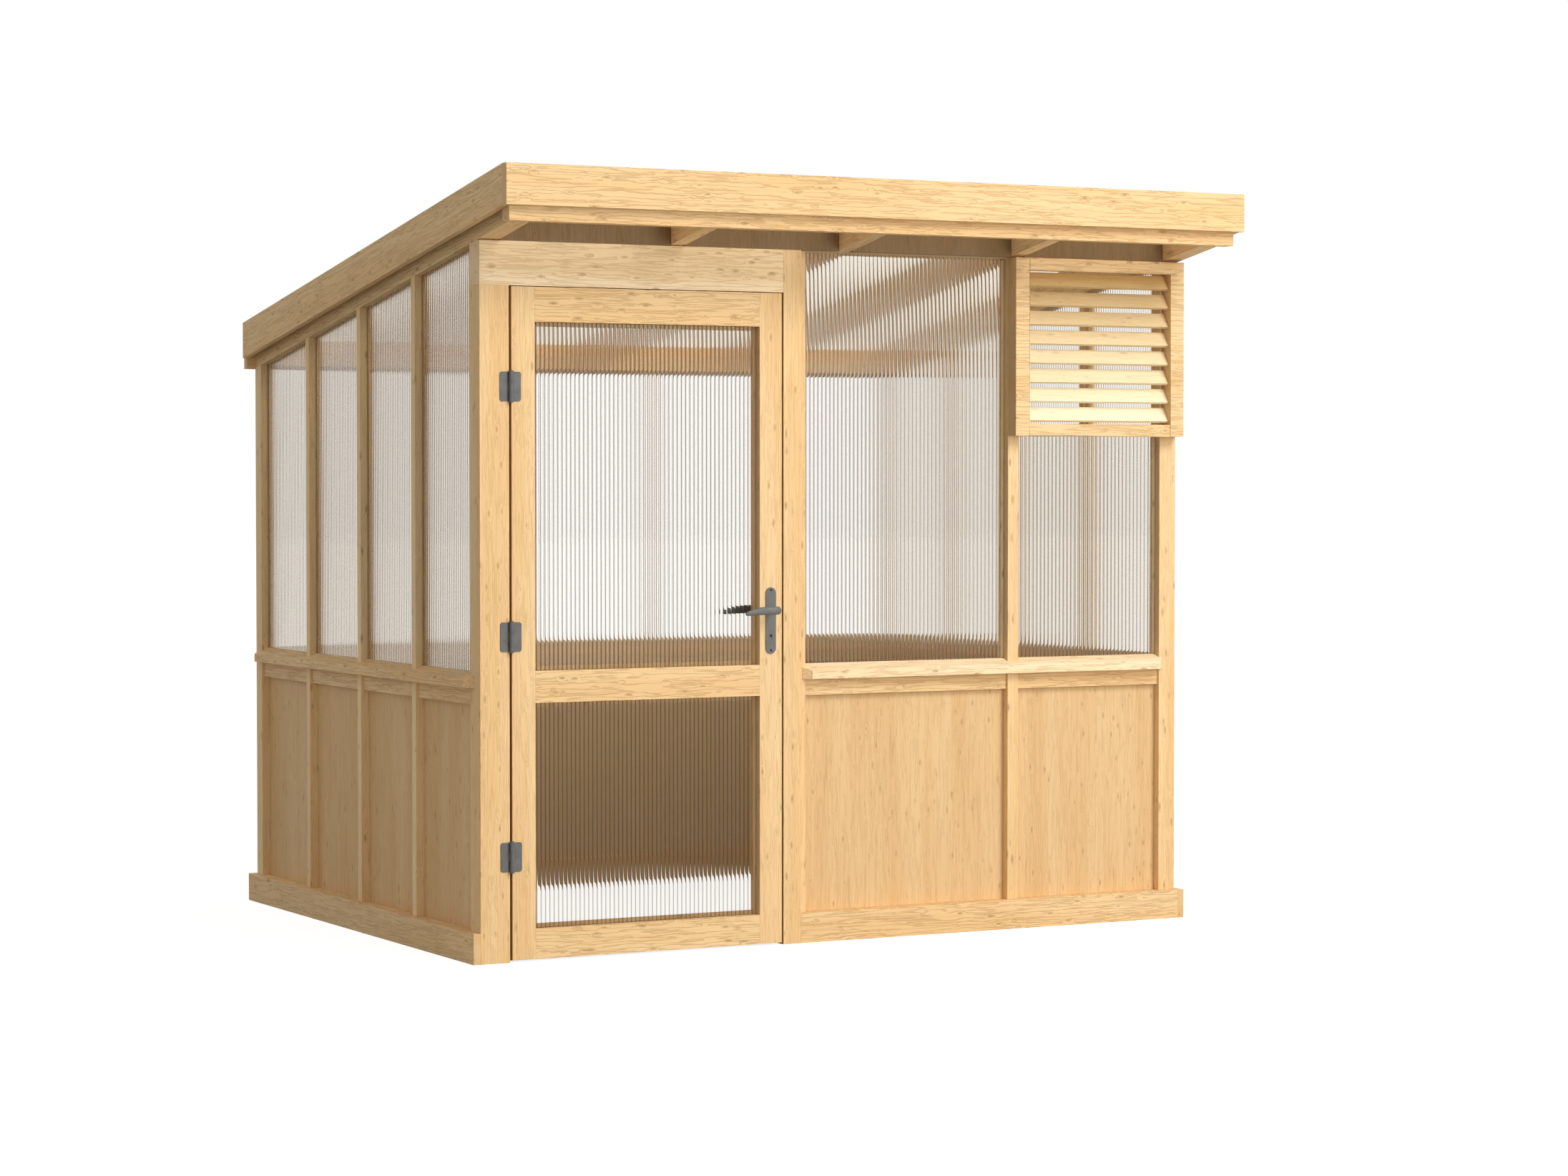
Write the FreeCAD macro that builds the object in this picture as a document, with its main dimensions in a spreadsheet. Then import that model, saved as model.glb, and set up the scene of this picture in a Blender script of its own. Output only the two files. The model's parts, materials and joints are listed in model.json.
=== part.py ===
import FreeCAD, Part
import math
import os
import re

import Sketcher

# Lean-to greenhouse. Origin in the middle of the outer box, on the ground.
# X runs to the right along the front, Y from the front to the back, Z up.
# Lengths are in millimetres and angles in degrees.

SIZES = {
    # Outer box and roof line
    "overall_width": 2402,
    "overall_depth": 2075,
    "overall_height": 2190,
    "roof_overhang": 278,
    "roof_pitch": 9.94,
    "wall_top": 2000,
    # Base boards and wall frames
    "base_width": 2362,
    "base_depth": 1794.5,
    "base_height": 86,
    "board_thickness": 21.5,
    "frame_depth": 47,
    "stud_width": 28,
    "rear_post_width": 50,
    "corner_post_width": 57.5,
    "middle_post_width": 37,
    "front_stile_width": 25.4,
    "wide_bay": 687,
    # Rails, sills, lower panels and panes
    "rail_height": 47.5,
    "rail_recess": 8,
    "rail_top": 763.5,
    "panel_recess": 25,
    "panel_thickness": 12,
    "sill_edge": 25,
    "sill_nose": 23.3,
    "sill_rise": 19.5,
    "front_sill_lap": 12,
    "side_sill_lap": 28.5,
    "pane_recess": 21,
    "pane_thickness": 5,
    "bead_width": 12,
    "bead_depth": 10,
    # Door and its frame
    "hinge_post_width": 88.7,
    "hinge_gap": 7.1,
    "door_width": 848.4,
    "latch_gap": 5.2,
    "latch_post_width": 58.2,
    "door_head": 1877,
    "door_top": 1875,
    "door_bottom": 6,
    "door_thickness": 45,
    "hinge_stile_width": 71,
    "lock_stile_width": 72,
    "top_rail_height": 97,
    "lock_rail_height": 89,
    "lock_rail_bottom": 720,
    "bottom_rail_height": 84,
    "threshold_height": 85,
    "stop_width": 20,
    "stop_gap": 0.5,
    # Rafters, trimmers, fascias and roof sheets
    "rafter_width": 45,
    "rafter_height": 96.5,
    "end_rafter_width": 63,
    "first_rafter_place": 633.5,
    "second_rafter_place": 1176.5,
    "third_rafter_place": 1761.5,
    "front_trimmer_thickness": 45,
    "front_trimmer_bottom": 2037.5,
    "front_trimmer_top": 2134,
    "rear_trimmer_bottom": 1690,
    "rear_trimmer_lap": 7,
    "rear_trimmer_top": 1784,
    "front_fascia_thickness": 27.5,
    "fascia_height": 111.8,
    "side_fascia_thickness": 20,
    "frieze_top": 2094,
    "noggin_height": 45,
    "sheet_thickness": 10,
    "sheet_gap": 4,
    "capping_width": 50,
    "capping_thickness": 8,
    # Louvre vent
    "vent_width": 599,
    "vent_height": 528,
    "vent_depth": 44,
    "vent_top": 1998.5,
    "vent_side_width": 48,
    "vent_top_width": 36.5,
    "vent_bottom_width": 35.5,
    "slat_width": 48,
    "slat_thickness": 10,
    "slat_tilt": 58.6,
    "slat_pitch": 57.2,
    "slat_recess": 10.4,
    "lowest_slat_rise": 41.4,
    # Hinges
    "hinge_radius": 7,
    "hinge_standoff": 7.2,
    "hinge_height": 82,
    "hinge_pin_radius": 3,
    "hinge_pin_play": 0.06,
    "hinge_pin_cap": 3.5,
    "hinge_pin_cap_radius": 5.5,
    "hinge_leaf_reach": 32,
    "hinge_leaf_thickness": 2,
    "hinge_corner_radius": 7,
    "hinge_screw_far": 24,
    "hinge_screw_near": 16,
    "hinge_screw_high": 31,
    "hinge_screw_low": 12,
    "knuckle_gap": 0.4,
    "top_hinge_place": 1598,
    "middle_hinge_place": 905,
    "bottom_hinge_place": 294,
    # Screws
    "screw_head_radius": 4,
    "screw_head_height": 2,
    "screw_shank_radius": 1.9,
    "screw_length": 24,
    "screw_clearance": 0.15,
    "plate_screw_length": 13,
    # Lock, handle and keep
    "lever_place": 966,
    "lever_inset": 37,
    "keyhole_drop": 73.5,
    "keyhole_radius": 4,
    "keyhole_slot_width": 3.6,
    "keyhole_slot_drop": 10,
    "plate_width": 33,
    "plate_height": 191,
    "plate_thickness": 3,
    "plate_drop": 30,
    "neck_radius": 9,
    "neck_play": 0.4,
    "lever_standoff": 50,
    "lever_reach": 106,
    "lever_thickness": 11,
    "lever_root_height": 24,
    "lever_tip_height": 12,
    "lever_droop": 8,
    "spindle_width": 8,
    "spindle_hole_radius": 6.4,
    "case_depth": 62,
    "case_thickness": 16,
    "case_height": 145,
    "case_rise": 49,
    "forend_width": 22,
    "forend_thickness": 2.5,
    "forend_height": 195,
    "bolt_thickness": 12,
    "bolt_play": 0.3,
    "latch_height": 20,
    "latch_rise": 24,
    "latch_length": 52,
    "latch_throw": 11.4,
    "dead_height": 24,
    "dead_drop": 49,
    "dead_length": 50,
    "keep_width": 28,
    "keep_thickness": 2,
    "keep_pocket": 15,
    "keep_play": 2,
}

SLAT_COUNT = 8

# Places worked out from the sizes above, each written with their names
PLACES = {
    "left": "-base_width / 2",
    "right": "base_width / 2",
    "front": "roof_overhang - overall_depth / 2",
    "back": "front + base_depth",
    "rear_face": "overall_depth / 2",
    "wall_left": "left + board_thickness",
    "wall_right": "right - board_thickness",
    "wall_front": "front + board_thickness",
    "wall_back": "back - board_thickness",
    "inner_left": "wall_left + frame_depth",
    "inner_right": "wall_right - frame_depth",
    "inner_front": "wall_front + frame_depth",
    "inner_back": "wall_back - frame_depth",
    "sill_top": "rail_top + sill_edge + sill_rise",
    "panel_top": "rail_top - rail_height",
    "door_left": "wall_left + hinge_post_width + hinge_gap",
    "door_right": "door_left + door_width",
    "latch_post_left": "door_right + latch_gap",
    "latch_post_right": "latch_post_left + latch_post_width",
    "wide_bay_left": "latch_post_right + front_stile_width",
    "wide_bay_right": "wide_bay_left + wide_bay",
    "narrow_bay_left": "wide_bay_right + middle_post_width",
    "narrow_bay_right": "wall_right - corner_post_width",
    "side_bay": "(wall_back - rear_post_width - inner_front - 3 * stud_width) / 4",
    "back_bay": "(inner_right - inner_left - 4 * stud_width) / 5",
    "door_back": "front + door_thickness",
    "hinge_x": "door_left - hinge_gap / 2",
    "hinge_y": "front - hinge_standoff",
    "pane_setback": "pane_recess + pane_thickness",
    "lever_x": "door_right - lever_inset",
    "lock_y": "front + door_thickness / 2",
    "lock_left": "door_right - case_depth",
    "case_bottom": "lever_place + case_rise - case_height",
    "plate_bottom": "lever_place - plate_drop - plate_height / 2",
    "forend_bottom": "case_bottom + case_height / 2 - forend_height / 2",
    "latch_bottom": "lever_place + latch_rise - latch_height / 2",
    "latch_nose": "door_right + latch_throw",
    "dead_bottom": "lever_place - dead_drop - dead_height / 2",
    "vent_left": "wall_right - vent_width",
    "vent_bottom": "vent_top - vent_height",
    "vent_face": "wall_front - vent_depth",
    "roof_fall": "tan(roof_pitch)",
}

doc = FreeCAD.newDocument("LeanToGreenhouse")
sheet = doc.addObject("Spreadsheet::Sheet", "Sizes")
for row, (alias, size) in enumerate(SIZES.items(), start=1):
    sheet.set("A%d" % row, alias.replace("_", " "))
    sheet.set("B%d" % row, str(size))
    sheet.setAlias("B%d" % row, alias)
doc.recompute()

nodes = []


def bind(text):
    """Write an expression on the sheet's cells for a text in plain names."""
    def expand(match):
        word = match.group(0)
        if word in SIZES:
            return "Sizes." + word
        if word in PLACES:
            return "(" + bind(PLACES[word]) + ")"
        return word
    return re.sub(r"[a-z][a-z_]*", expand, str(text))


def tie(piece, **texts):
    """Bind each named property of a piece to its expression."""
    for name, text in texts.items():
        piece.setExpression(name, bind(text))


def place(piece, x, y, z):
    """Bind a piece's place."""
    tie(piece, **{"Placement.Base.x": x, "Placement.Base.y": y, "Placement.Base.z": z})


def box(x, y, z, length, width, height):
    """A block by its low corner and its sizes along X, Y and Z."""
    piece = doc.addObject("Part::Box", "Block")
    tie(piece, Length=length, Width=width, Height=height)
    place(piece, x, y, z)
    return piece


def block(x_low, x_high, y_low, y_high, z_low, z_high):
    """A block between two corners."""
    return box(
        x_low, y_low, z_low,
        "(%s) - (%s)" % (x_high, x_low),
        "(%s) - (%s)" % (y_high, y_low),
        "(%s) - (%s)" % (z_high, z_low),
    )


def roof_line(y, rise=0):
    """Height of the rafters' underside at a depth, raised by a stated height."""
    return "(wall_top - ((%s) - wall_front) * roof_fall + (%s))" % (y, rise)


def sloped(x_low, x_high, y_low, y_high, bottom, top):
    """A block whose bottom and top heights differ between its two Y ends."""
    piece = doc.addObject("Part::Wedge", "SlopedBlock")
    tie(piece, Xmin=x_low, X2min=x_low, Xmax=x_high, X2max=x_high, Ymin=y_low, Ymax=y_high)
    tie(piece, Zmin=bottom(y_low), Z2min=bottom(y_high), Zmax=top(y_low), Z2max=top(y_high))
    return piece


def level(height):
    """A height that is the same at every depth."""
    return lambda y: height


def under_roof(x_low, x_high, y_low, y_high, bottom):
    """A piece that stands at one height and is cut to the rafters' underside."""
    return sloped(x_low, x_high, y_low, y_high, level(bottom), roof_line)


def along_roof(x_low, x_high, y_low, y_high, low, high):
    """A piece that lies in the roof's slope between two heights over the rafters' underside."""
    def at(rise):
        return lambda y: roof_line(y, rise)
    return sloped(x_low, x_high, y_low, y_high, at(low), at(high))


def rod(axis, x, y, z, radius, length):
    """A round bar from a point along an axis."""
    turns = {
        "x": FreeCAD.Rotation(FreeCAD.Vector(0, 1, 0), 90),
        "y": FreeCAD.Rotation(FreeCAD.Vector(1, 0, 0), -90),
        "z": FreeCAD.Rotation(),
    }
    piece = doc.addObject("Part::Cylinder", "Rod")
    tie(piece, Radius=radius, Height=length)
    piece.Placement = FreeCAD.Placement(FreeCAD.Vector(), turns[axis])
    place(piece, x, y, z)
    return piece


def joined(pieces):
    """Pieces made into one solid."""
    piece = doc.addObject("Part::MultiFuse", "Joined")
    piece.Shapes = pieces
    piece.Refine = True
    return piece


def cut(base, tools):
    """A piece with the given tools taken away."""
    tool = doc.addObject("Part::Compound", "Tools")
    tool.Links = tools
    piece = doc.addObject("Part::Cut", "Cut")
    piece.Base = base
    piece.Tool = tool
    return piece


def node(label, *pieces):
    """Name one sub-part, made of one piece or of several separate ones."""
    if len(pieces) == 1:
        piece = pieces[0]
    else:
        piece = doc.addObject("Part::Compound", "Group")
        piece.Links = list(pieces)
    piece.Label = label
    nodes.append(piece)


def body_plane(body, role):
    """The origin plane of a body with the given role."""
    return [feature for feature in body.Origin.OriginFeatures if feature.Role == role][0]


def outline(body, role, offset, corners):
    """A closed sketch of straight lines through bound corners, on a plane of its body."""
    sketch = body.newObject("Sketcher::SketchObject", "Outline")
    sketch.AttachmentSupport = [(body_plane(body, role), "")]
    sketch.MapMode = "FlatFace"
    tie(sketch, **{"AttachmentOffset.Base.z": offset})
    count = len(corners)
    angles = [2 * math.pi * index / count for index in range(count)]
    starts = [FreeCAD.Vector(100 * math.cos(angle), 100 * math.sin(angle), 0) for angle in angles]
    for index in range(count):
        line = Part.LineSegment(starts[index], starts[(index + 1) % count])
        sketch.addGeometry(line, False)
    for index in range(count):
        following = (index + 1) % count
        sketch.addConstraint(Sketcher.Constraint("Coincident", index, 2, following, 1))
    for index, (across, up) in enumerate(corners):
        for kind, text in (("DistanceX", across), ("DistanceY", up)):
            number = sketch.addConstraint(Sketcher.Constraint(kind, -1, 1, index, 1, 100.0))
            sketch.setExpression("Constraints[%d]" % number, bind(text))
    return sketch


def extrusion(role, start, length, corners):
    """A body padded from an outline on one of its origin planes."""
    body = doc.addObject("PartDesign::Body", "Body")
    sketch = outline(body, role, start, corners)
    pad = body.newObject("PartDesign::Pad", "Pad")
    pad.Profile = sketch
    tie(pad, Length=length)
    sketch.Visibility = False
    return body


def between_posts():
    """The front wall's two bays as pairs of X places."""
    return [("wide_bay_left", "wide_bay_right"), ("narrow_bay_left", "narrow_bay_right")]


def side_bays():
    """The four bays of a side wall as pairs of Y places."""
    starts = ["inner_front + %d * (side_bay + stud_width)" % index for index in range(4)]
    return [(start, "%s + side_bay" % start) for start in starts]


def back_bays():
    """The five bays of the back wall as pairs of X places."""
    starts = ["inner_left + %d * (back_bay + stud_width)" % index for index in range(5)]
    return [(start, "%s + back_bay" % start) for start in starts]


def make_base():
    """Base boards outside the walls, the beams under the wall frames and the threshold."""
    height = (0, "base_height")
    node("base_board_front", block("latch_post_right", "wall_right", "front", "wall_front", *height))
    node("base_board_back", block("wall_left", "wall_right", "wall_back", "back", *height))
    node(
        "base_boards_side",
        block("left", "wall_left", "front", "back", *height),
        block("wall_right", "right", "front", "back", *height),
    )
    node(
        "ground_beams",
        block("latch_post_right", "wall_right", "wall_front", "inner_front", *height),
        block("wall_left", "inner_left", "inner_front", "wall_back", *height),
        block("inner_right", "wall_right", "inner_front", "wall_back", *height),
        block("inner_left", "inner_right", "inner_back", "wall_back", *height),
    )
    node(
        "threshold_board",
        block(
            "door_left - hinge_gap", "latch_post_left",
            "door_back + stop_gap", "inner_front", 0, "threshold_height",
        ),
    )


def make_posts():
    """Posts and studs of the four walls, each cut to the roof's slope at the top."""
    front_posts = [
        ("latch_post_right", "wide_bay_left"),
        ("wide_bay_right", "narrow_bay_left"),
        ("narrow_bay_right", "wall_right"),
    ]
    node(
        "front_posts",
        *[under_roof(low, high, "wall_front", "inner_front", "base_height") for low, high in front_posts],
    )
    bays = side_bays()
    studs = [(bays[index][1], bays[index + 1][0]) for index in range(3)]
    studs.append((bays[3][1], "wall_back"))
    for label, low, high in (
        ("left_posts", "wall_left", "inner_left"),
        ("right_posts", "inner_right", "wall_right"),
    ):
        node(label, *[under_roof(low, high, start, end, "base_height") for start, end in studs])
    bays = back_bays()
    studs = [(bays[index][1], bays[index + 1][0]) for index in range(4)]
    node(
        "back_posts",
        *[under_roof(start, end, "inner_back", "wall_back", "base_height") for start, end in studs],
    )


def make_rails():
    """The rail under the sill in each bay."""
    height = ("panel_top", "rail_top")
    rails = []
    for low, high in between_posts():
        rails.append(block(low, high, "wall_front + rail_recess", "inner_front", *height))
    for low, high in back_bays():
        rails.append(block(low, high, "inner_back", "wall_back - rail_recess", *height))
    node("front_and_back_rails", *rails)
    rails = []
    for low, high in side_bays():
        rails.append(block("wall_left + rail_recess", "inner_left", low, high, *height))
        rails.append(block("inner_right", "wall_right - rail_recess", low, high, *height))
    node("side_rails", *rails)


def make_lower_panels():
    """Upright boarding between the base and the rails."""
    near = "panel_recess"
    far = "(panel_recess + panel_thickness)"
    height = ("base_height", "panel_top")
    front = ("wall_front + " + near, "wall_front + " + far)
    left = ("wall_left + " + near, "wall_left + " + far)
    right = ("wall_right - " + far, "wall_right - " + near)
    back = ("wall_back - " + far, "wall_back - " + near)
    node("front_panels", *[block(low, high, *front, *height) for low, high in between_posts()])
    node("left_panels", *[block(*left, low, high, *height) for low, high in side_bays()])
    node("right_panels", *[block(*right, low, high, *height) for low, high in side_bays()])
    node("back_panels", *[block(low, high, *back, *height) for low, high in back_bays()])


def sill(label, bays, lap, wall, turn):
    """A weathered sill with mitred ends that fills the bays in front of the panes.

    It is drawn along its own X axis with the wall's outer plane at Y = 0 and the room at
    positive Y, then turned and set on its wall.
    """
    first = bays[0][0]
    last = bays[-1][1]
    corners = [
        ("(%s) - %s + sill_nose" % (first, lap), "-sill_nose"),
        ("(%s) + %s - sill_nose" % (last, lap), "-sill_nose"),
        ("(%s) + %s" % (last, lap), "0"),
    ]
    for low, high in reversed(bays):
        corners.append((high, "0"))
        corners.append((high, "pane_recess"))
        corners.append((low, "pane_recess"))
        corners.append((low, "0"))
    corners.append(("(%s) - %s" % (first, lap), "0"))
    body = extrusion("XY_Plane", "rail_top", "sill_top - rail_top", corners)
    pocket = body.newObject("PartDesign::Pocket", "Weathering")
    pocket.Profile = outline(
        body, "YZ_Plane", "0",
        [
            ("-sill_nose", "rail_top + sill_edge"),
            ("pane_recess", "sill_top"),
            ("pane_recess", "sill_top + sill_rise"),
            ("-sill_nose", "sill_top + sill_rise"),
        ],
    )
    pocket.Type = "ThroughAll"
    pocket.Midplane = True
    body.Placement = FreeCAD.Placement(FreeCAD.Vector(), FreeCAD.Rotation(FreeCAD.Vector(0, 0, 1), turn))
    place(body, wall[0], wall[1], 0)
    node(label, body)


def make_sills():
    """One sill on each wall. Each side's bays are measured along that sill's own X axis."""
    sill("front_sill", between_posts(), "front_sill_lap", (0, "wall_front"), 0)
    away = [("-(%s)" % high, "-(%s)" % low) for low, high in reversed(side_bays())]
    sill("left_sill", away, "side_sill_lap", ("wall_left", 0), -90)
    sill("right_sill", side_bays(), "side_sill_lap", ("wall_right", 0), 90)
    away = [("-(%s)" % high, "-(%s)" % low) for low, high in reversed(back_bays())]
    sill("back_sill", away, "side_sill_lap", (0, "wall_back"), 180)


def make_panes():
    """Ribbed panes that stand on the rails, and the beads that hold them from inside."""
    beads = []
    pane = ("wall_front + pane_recess", "wall_front + pane_setback")
    bead = ("wall_front + pane_setback", "wall_front + pane_setback + bead_depth")
    tops = ((roof_line(pane[1]), roof_line(bead[1])), ("vent_bottom", "vent_bottom"))
    panes = []
    for (low, high), (pane_top, bead_top) in zip(between_posts(), tops):
        panes.append(block(low, high, *pane, "rail_top", pane_top))
        for start, end in bead_pair(low, high):
            beads.append(block(start, end, *bead, "rail_top", bead_top))
        beads.append(block(*between_beads(low, high), *bead, "rail_top", "sill_top"))
    node("front_panes", *panes)
    left = ("wall_left + pane_recess", "wall_left + pane_setback")
    left_bead = ("wall_left + pane_setback", "wall_left + pane_setback + bead_depth")
    right = ("wall_right - pane_setback", "wall_right - pane_recess")
    right_bead = ("wall_right - pane_setback - bead_depth", "wall_right - pane_setback")
    for label, pane, bead in (("left_panes", left, left_bead), ("right_panes", right, right_bead)):
        node(label, *[under_roof(*pane, low, high, "rail_top") for low, high in side_bays()])
        for low, high in side_bays():
            for start, end in bead_pair(low, high):
                beads.append(under_roof(*bead, start, end, "rail_top"))
            beads.append(block(*bead, *between_beads(low, high), "rail_top", "sill_top"))
    pane = ("wall_back - pane_setback", "wall_back - pane_recess")
    bead = ("wall_back - pane_setback - bead_depth", "wall_back - pane_setback")
    height = ("rail_top", roof_line("wall_back - pane_recess"))
    node("back_panes", *[block(low, high, *pane, *height) for low, high in back_bays()])
    for low, high in back_bays():
        for start, end in bead_pair(low, high):
            beads.append(block(start, end, *bead, *height))
        beads.append(block(*between_beads(low, high), *bead, "rail_top", "sill_top"))
    node("glazing_beads", *beads)


def bead_pair(low, high):
    """Both ends of the two beads that stand at the edges of a bay."""
    return [(low, low + " + bead_width"), (high + " - bead_width", high)]


def between_beads(low, high):
    """Both ends of the bottom bead, which lies between a bay's upright beads."""
    return low + " + bead_width", high + " - bead_width"


def screw_holes(points, y, length):
    """Pilot holes along +Y at the given X and Z places."""
    radius = "screw_shank_radius + screw_clearance"
    return [rod("y", x, y, z, radius, length) for x, z in points]


def hinge_screw_points(side):
    """X and Z places of the four screws in one leaf of each hinge: side is -1 or 1."""
    points = []
    for height in ("top_hinge_place", "middle_hinge_place", "bottom_hinge_place"):
        for out, up in (
            ("hinge_screw_far", "+ hinge_screw_high"),
            ("hinge_screw_near", "+ hinge_screw_low"),
            ("hinge_screw_far", "- hinge_screw_low"),
            ("hinge_screw_near", "- hinge_screw_high"),
        ):
            points.append(("hinge_x + %d * %s" % (side, out), "%s %s" % (height, up)))
    return points


def cone(x, y, z, radius, tip_radius, inward):
    """A screw head's cone that narrows along +Y, or along -Y where inward is -1."""
    piece = doc.addObject("Part::Cone", "Cone")
    tie(piece, Radius1=radius, Radius2=tip_radius, Height="screw_head_height")
    piece.Placement = FreeCAD.Placement(
        FreeCAD.Vector(), FreeCAD.Rotation(FreeCAD.Vector(1, 0, 0), -90 * inward)
    )
    place(piece, x, y, z)
    return piece


def screws(points, face, inward, length):
    """Countersunk screws with their heads' tops on a face, driven along +Y or -Y."""
    start = face if inward > 0 else "(%s) - %s" % (face, length)
    made = []
    for x, z in points:
        head = cone(x, face, z, "screw_head_radius - screw_clearance", "screw_shank_radius", inward)
        made.append(joined([head, rod("y", x, start, z, "screw_shank_radius", length)]))
    return made


def countersinks(points, face, inward, thickness):
    """The holes that those screws need in a plate whose outer side is the given face."""
    start = "(%s) - 1" % face if inward > 0 else "(%s) - %s - 1" % (face, thickness)
    hole_radius = "screw_shank_radius + screw_clearance"
    tools = []
    for x, z in points:
        tools.append(cone(x, face, z, "screw_head_radius", hole_radius, inward))
        tools.append(rod("y", x, start, z, hole_radius, thickness + " + 2"))
    return tools


def bevelled(x_low, x_high, bottom):
    """A member of the door frame from the front plane inwards, cut to the rafters above."""
    corners = [
        ("front", bottom),
        ("inner_front", bottom),
        ("inner_front", roof_line("inner_front")),
        ("wall_front", "wall_top"),
        ("front", "wall_top"),
    ]
    return extrusion("YZ_Plane", x_low, "(%s) - (%s)" % (x_high, x_low), corners)


def make_door_frame():
    """Posts, header, stops and keep round the door."""
    hinge_post = block("wall_left", "door_left - hinge_gap", "front", "inner_front", 0, "door_head")
    holes = screw_holes(hinge_screw_points(-1), "front - 1", "screw_length + 1")
    node("door_post_hinge", cut(hinge_post, holes))
    node("door_header", bevelled("wall_left", "latch_post_left", "door_head"))
    latch_post = bevelled("latch_post_left", "latch_post_right", "0")
    seat = block(
        "latch_post_left", "latch_post_left + keep_thickness",
        "lock_y - keep_width / 2", "lock_y + keep_width / 2",
        "forend_bottom", "forend_bottom + forend_height",
    )
    pockets = []
    windows = []
    for bottom, height in (("latch_bottom", "latch_height"), ("dead_bottom", "dead_height")):
        low = "lock_y - bolt_thickness / 2 - keep_play"
        high = "lock_y + bolt_thickness / 2 + keep_play"
        span = (low, high, bottom + " - keep_play", "%s + %s + keep_play" % (bottom, height))
        pockets.append(block("latch_post_left", "latch_post_left + keep_pocket", *span))
        windows.append(block("latch_post_left - 1", "latch_post_left + keep_thickness + 1", *span))
    node("door_post_latch", cut(latch_post, [seat] + pockets))
    keep = block(
        "latch_post_left", "latch_post_left + keep_thickness",
        "lock_y - keep_width / 2", "lock_y + keep_width / 2",
        "forend_bottom", "forend_bottom + forend_height",
    )
    node("strike_plate", cut(keep, windows))
    depth = ("door_back + stop_gap", "inner_front")
    height = ("threshold_height", "door_head")
    left = "door_left - hinge_gap"
    node(
        "door_stops",
        block(left, left + " + stop_width", *depth, *height),
        block("latch_post_left - stop_width", "latch_post_left", *depth, *height),
        block(
            left + " + stop_width", "latch_post_left - stop_width", *depth,
            "door_head - stop_width", "door_head",
        ),
    )


def make_door():
    """Stiles, rails, panes and beads of the door leaf."""
    depth = ("front", "door_back")
    glass_left = "door_left + hinge_stile_width"
    glass_right = "door_right - lock_stile_width"
    hinge_stile = block("door_left", glass_left, *depth, "door_bottom", "door_top")
    holes = screw_holes(hinge_screw_points(1), "front - 1", "screw_length + 1")
    node("door_hinge_stile", cut(hinge_stile, holes))
    lock_stile = block(glass_right, "door_right", *depth, "door_bottom", "door_top")
    mortise = [
        block(
            "lock_left", "door_right", "lock_y - case_thickness / 2", "lock_y + case_thickness / 2",
            "case_bottom", "case_bottom + case_height",
        ),
        block(
            "door_right - forend_thickness", "door_right",
            "lock_y - forend_width / 2", "lock_y + forend_width / 2",
            "forend_bottom", "forend_bottom + forend_height",
        ),
        rod("y", "lever_x", "front - 1", "lever_place", "neck_radius + 1", "door_thickness + 2"),
        rod(
            "y", "lever_x", "front - 1", "lever_place - keyhole_drop",
            "keyhole_radius + 2", "door_thickness + 2",
        ),
    ]
    holes = screw_holes(plate_screw_points(), "front - 1", "plate_screw_length")
    holes += screw_holes(
        plate_screw_points(), "door_back + 1 - plate_screw_length", "plate_screw_length"
    )
    node("door_lock_stile", cut(lock_stile, mortise + holes))
    rails = (
        ("door_top_rail", "door_top - top_rail_height", "door_top"),
        ("door_lock_rail", "lock_rail_bottom", "lock_rail_bottom + lock_rail_height"),
        ("door_bottom_rail", "door_bottom", "door_bottom + bottom_rail_height"),
    )
    for label, low, high in rails:
        node(label, block(glass_left, glass_right, *depth, low, high))
    openings = ((rails[1][2], rails[0][1]), (rails[2][2], rails[1][1]))
    panes = []
    beads = []
    bead_span = ("front + pane_setback", "front + pane_setback + bead_depth")
    for low, high in openings:
        panes.append(block(glass_left, glass_right, "front + pane_recess", bead_span[0], low, high))
        for start in (glass_left, glass_right + " - bead_width"):
            beads.append(block(start, start + " + bead_width", *bead_span, low, high))
        for start in (low, high + " - bead_width"):
            beads.append(
                block(
                    glass_left + " + bead_width", glass_right + " - bead_width",
                    *bead_span, start, start + " + bead_width",
                )
            )
    node("door_panes", *panes)
    node("door_beads", *beads)


def knuckles(height, bottom, top):
    """A hinge knuckle between two heights, measured from the hinge's middle."""
    length = "(%s) - (%s)" % (top, bottom)
    return rod("z", "hinge_x", "hinge_y", "%s + (%s)" % (height, bottom), "hinge_radius", length)


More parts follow.
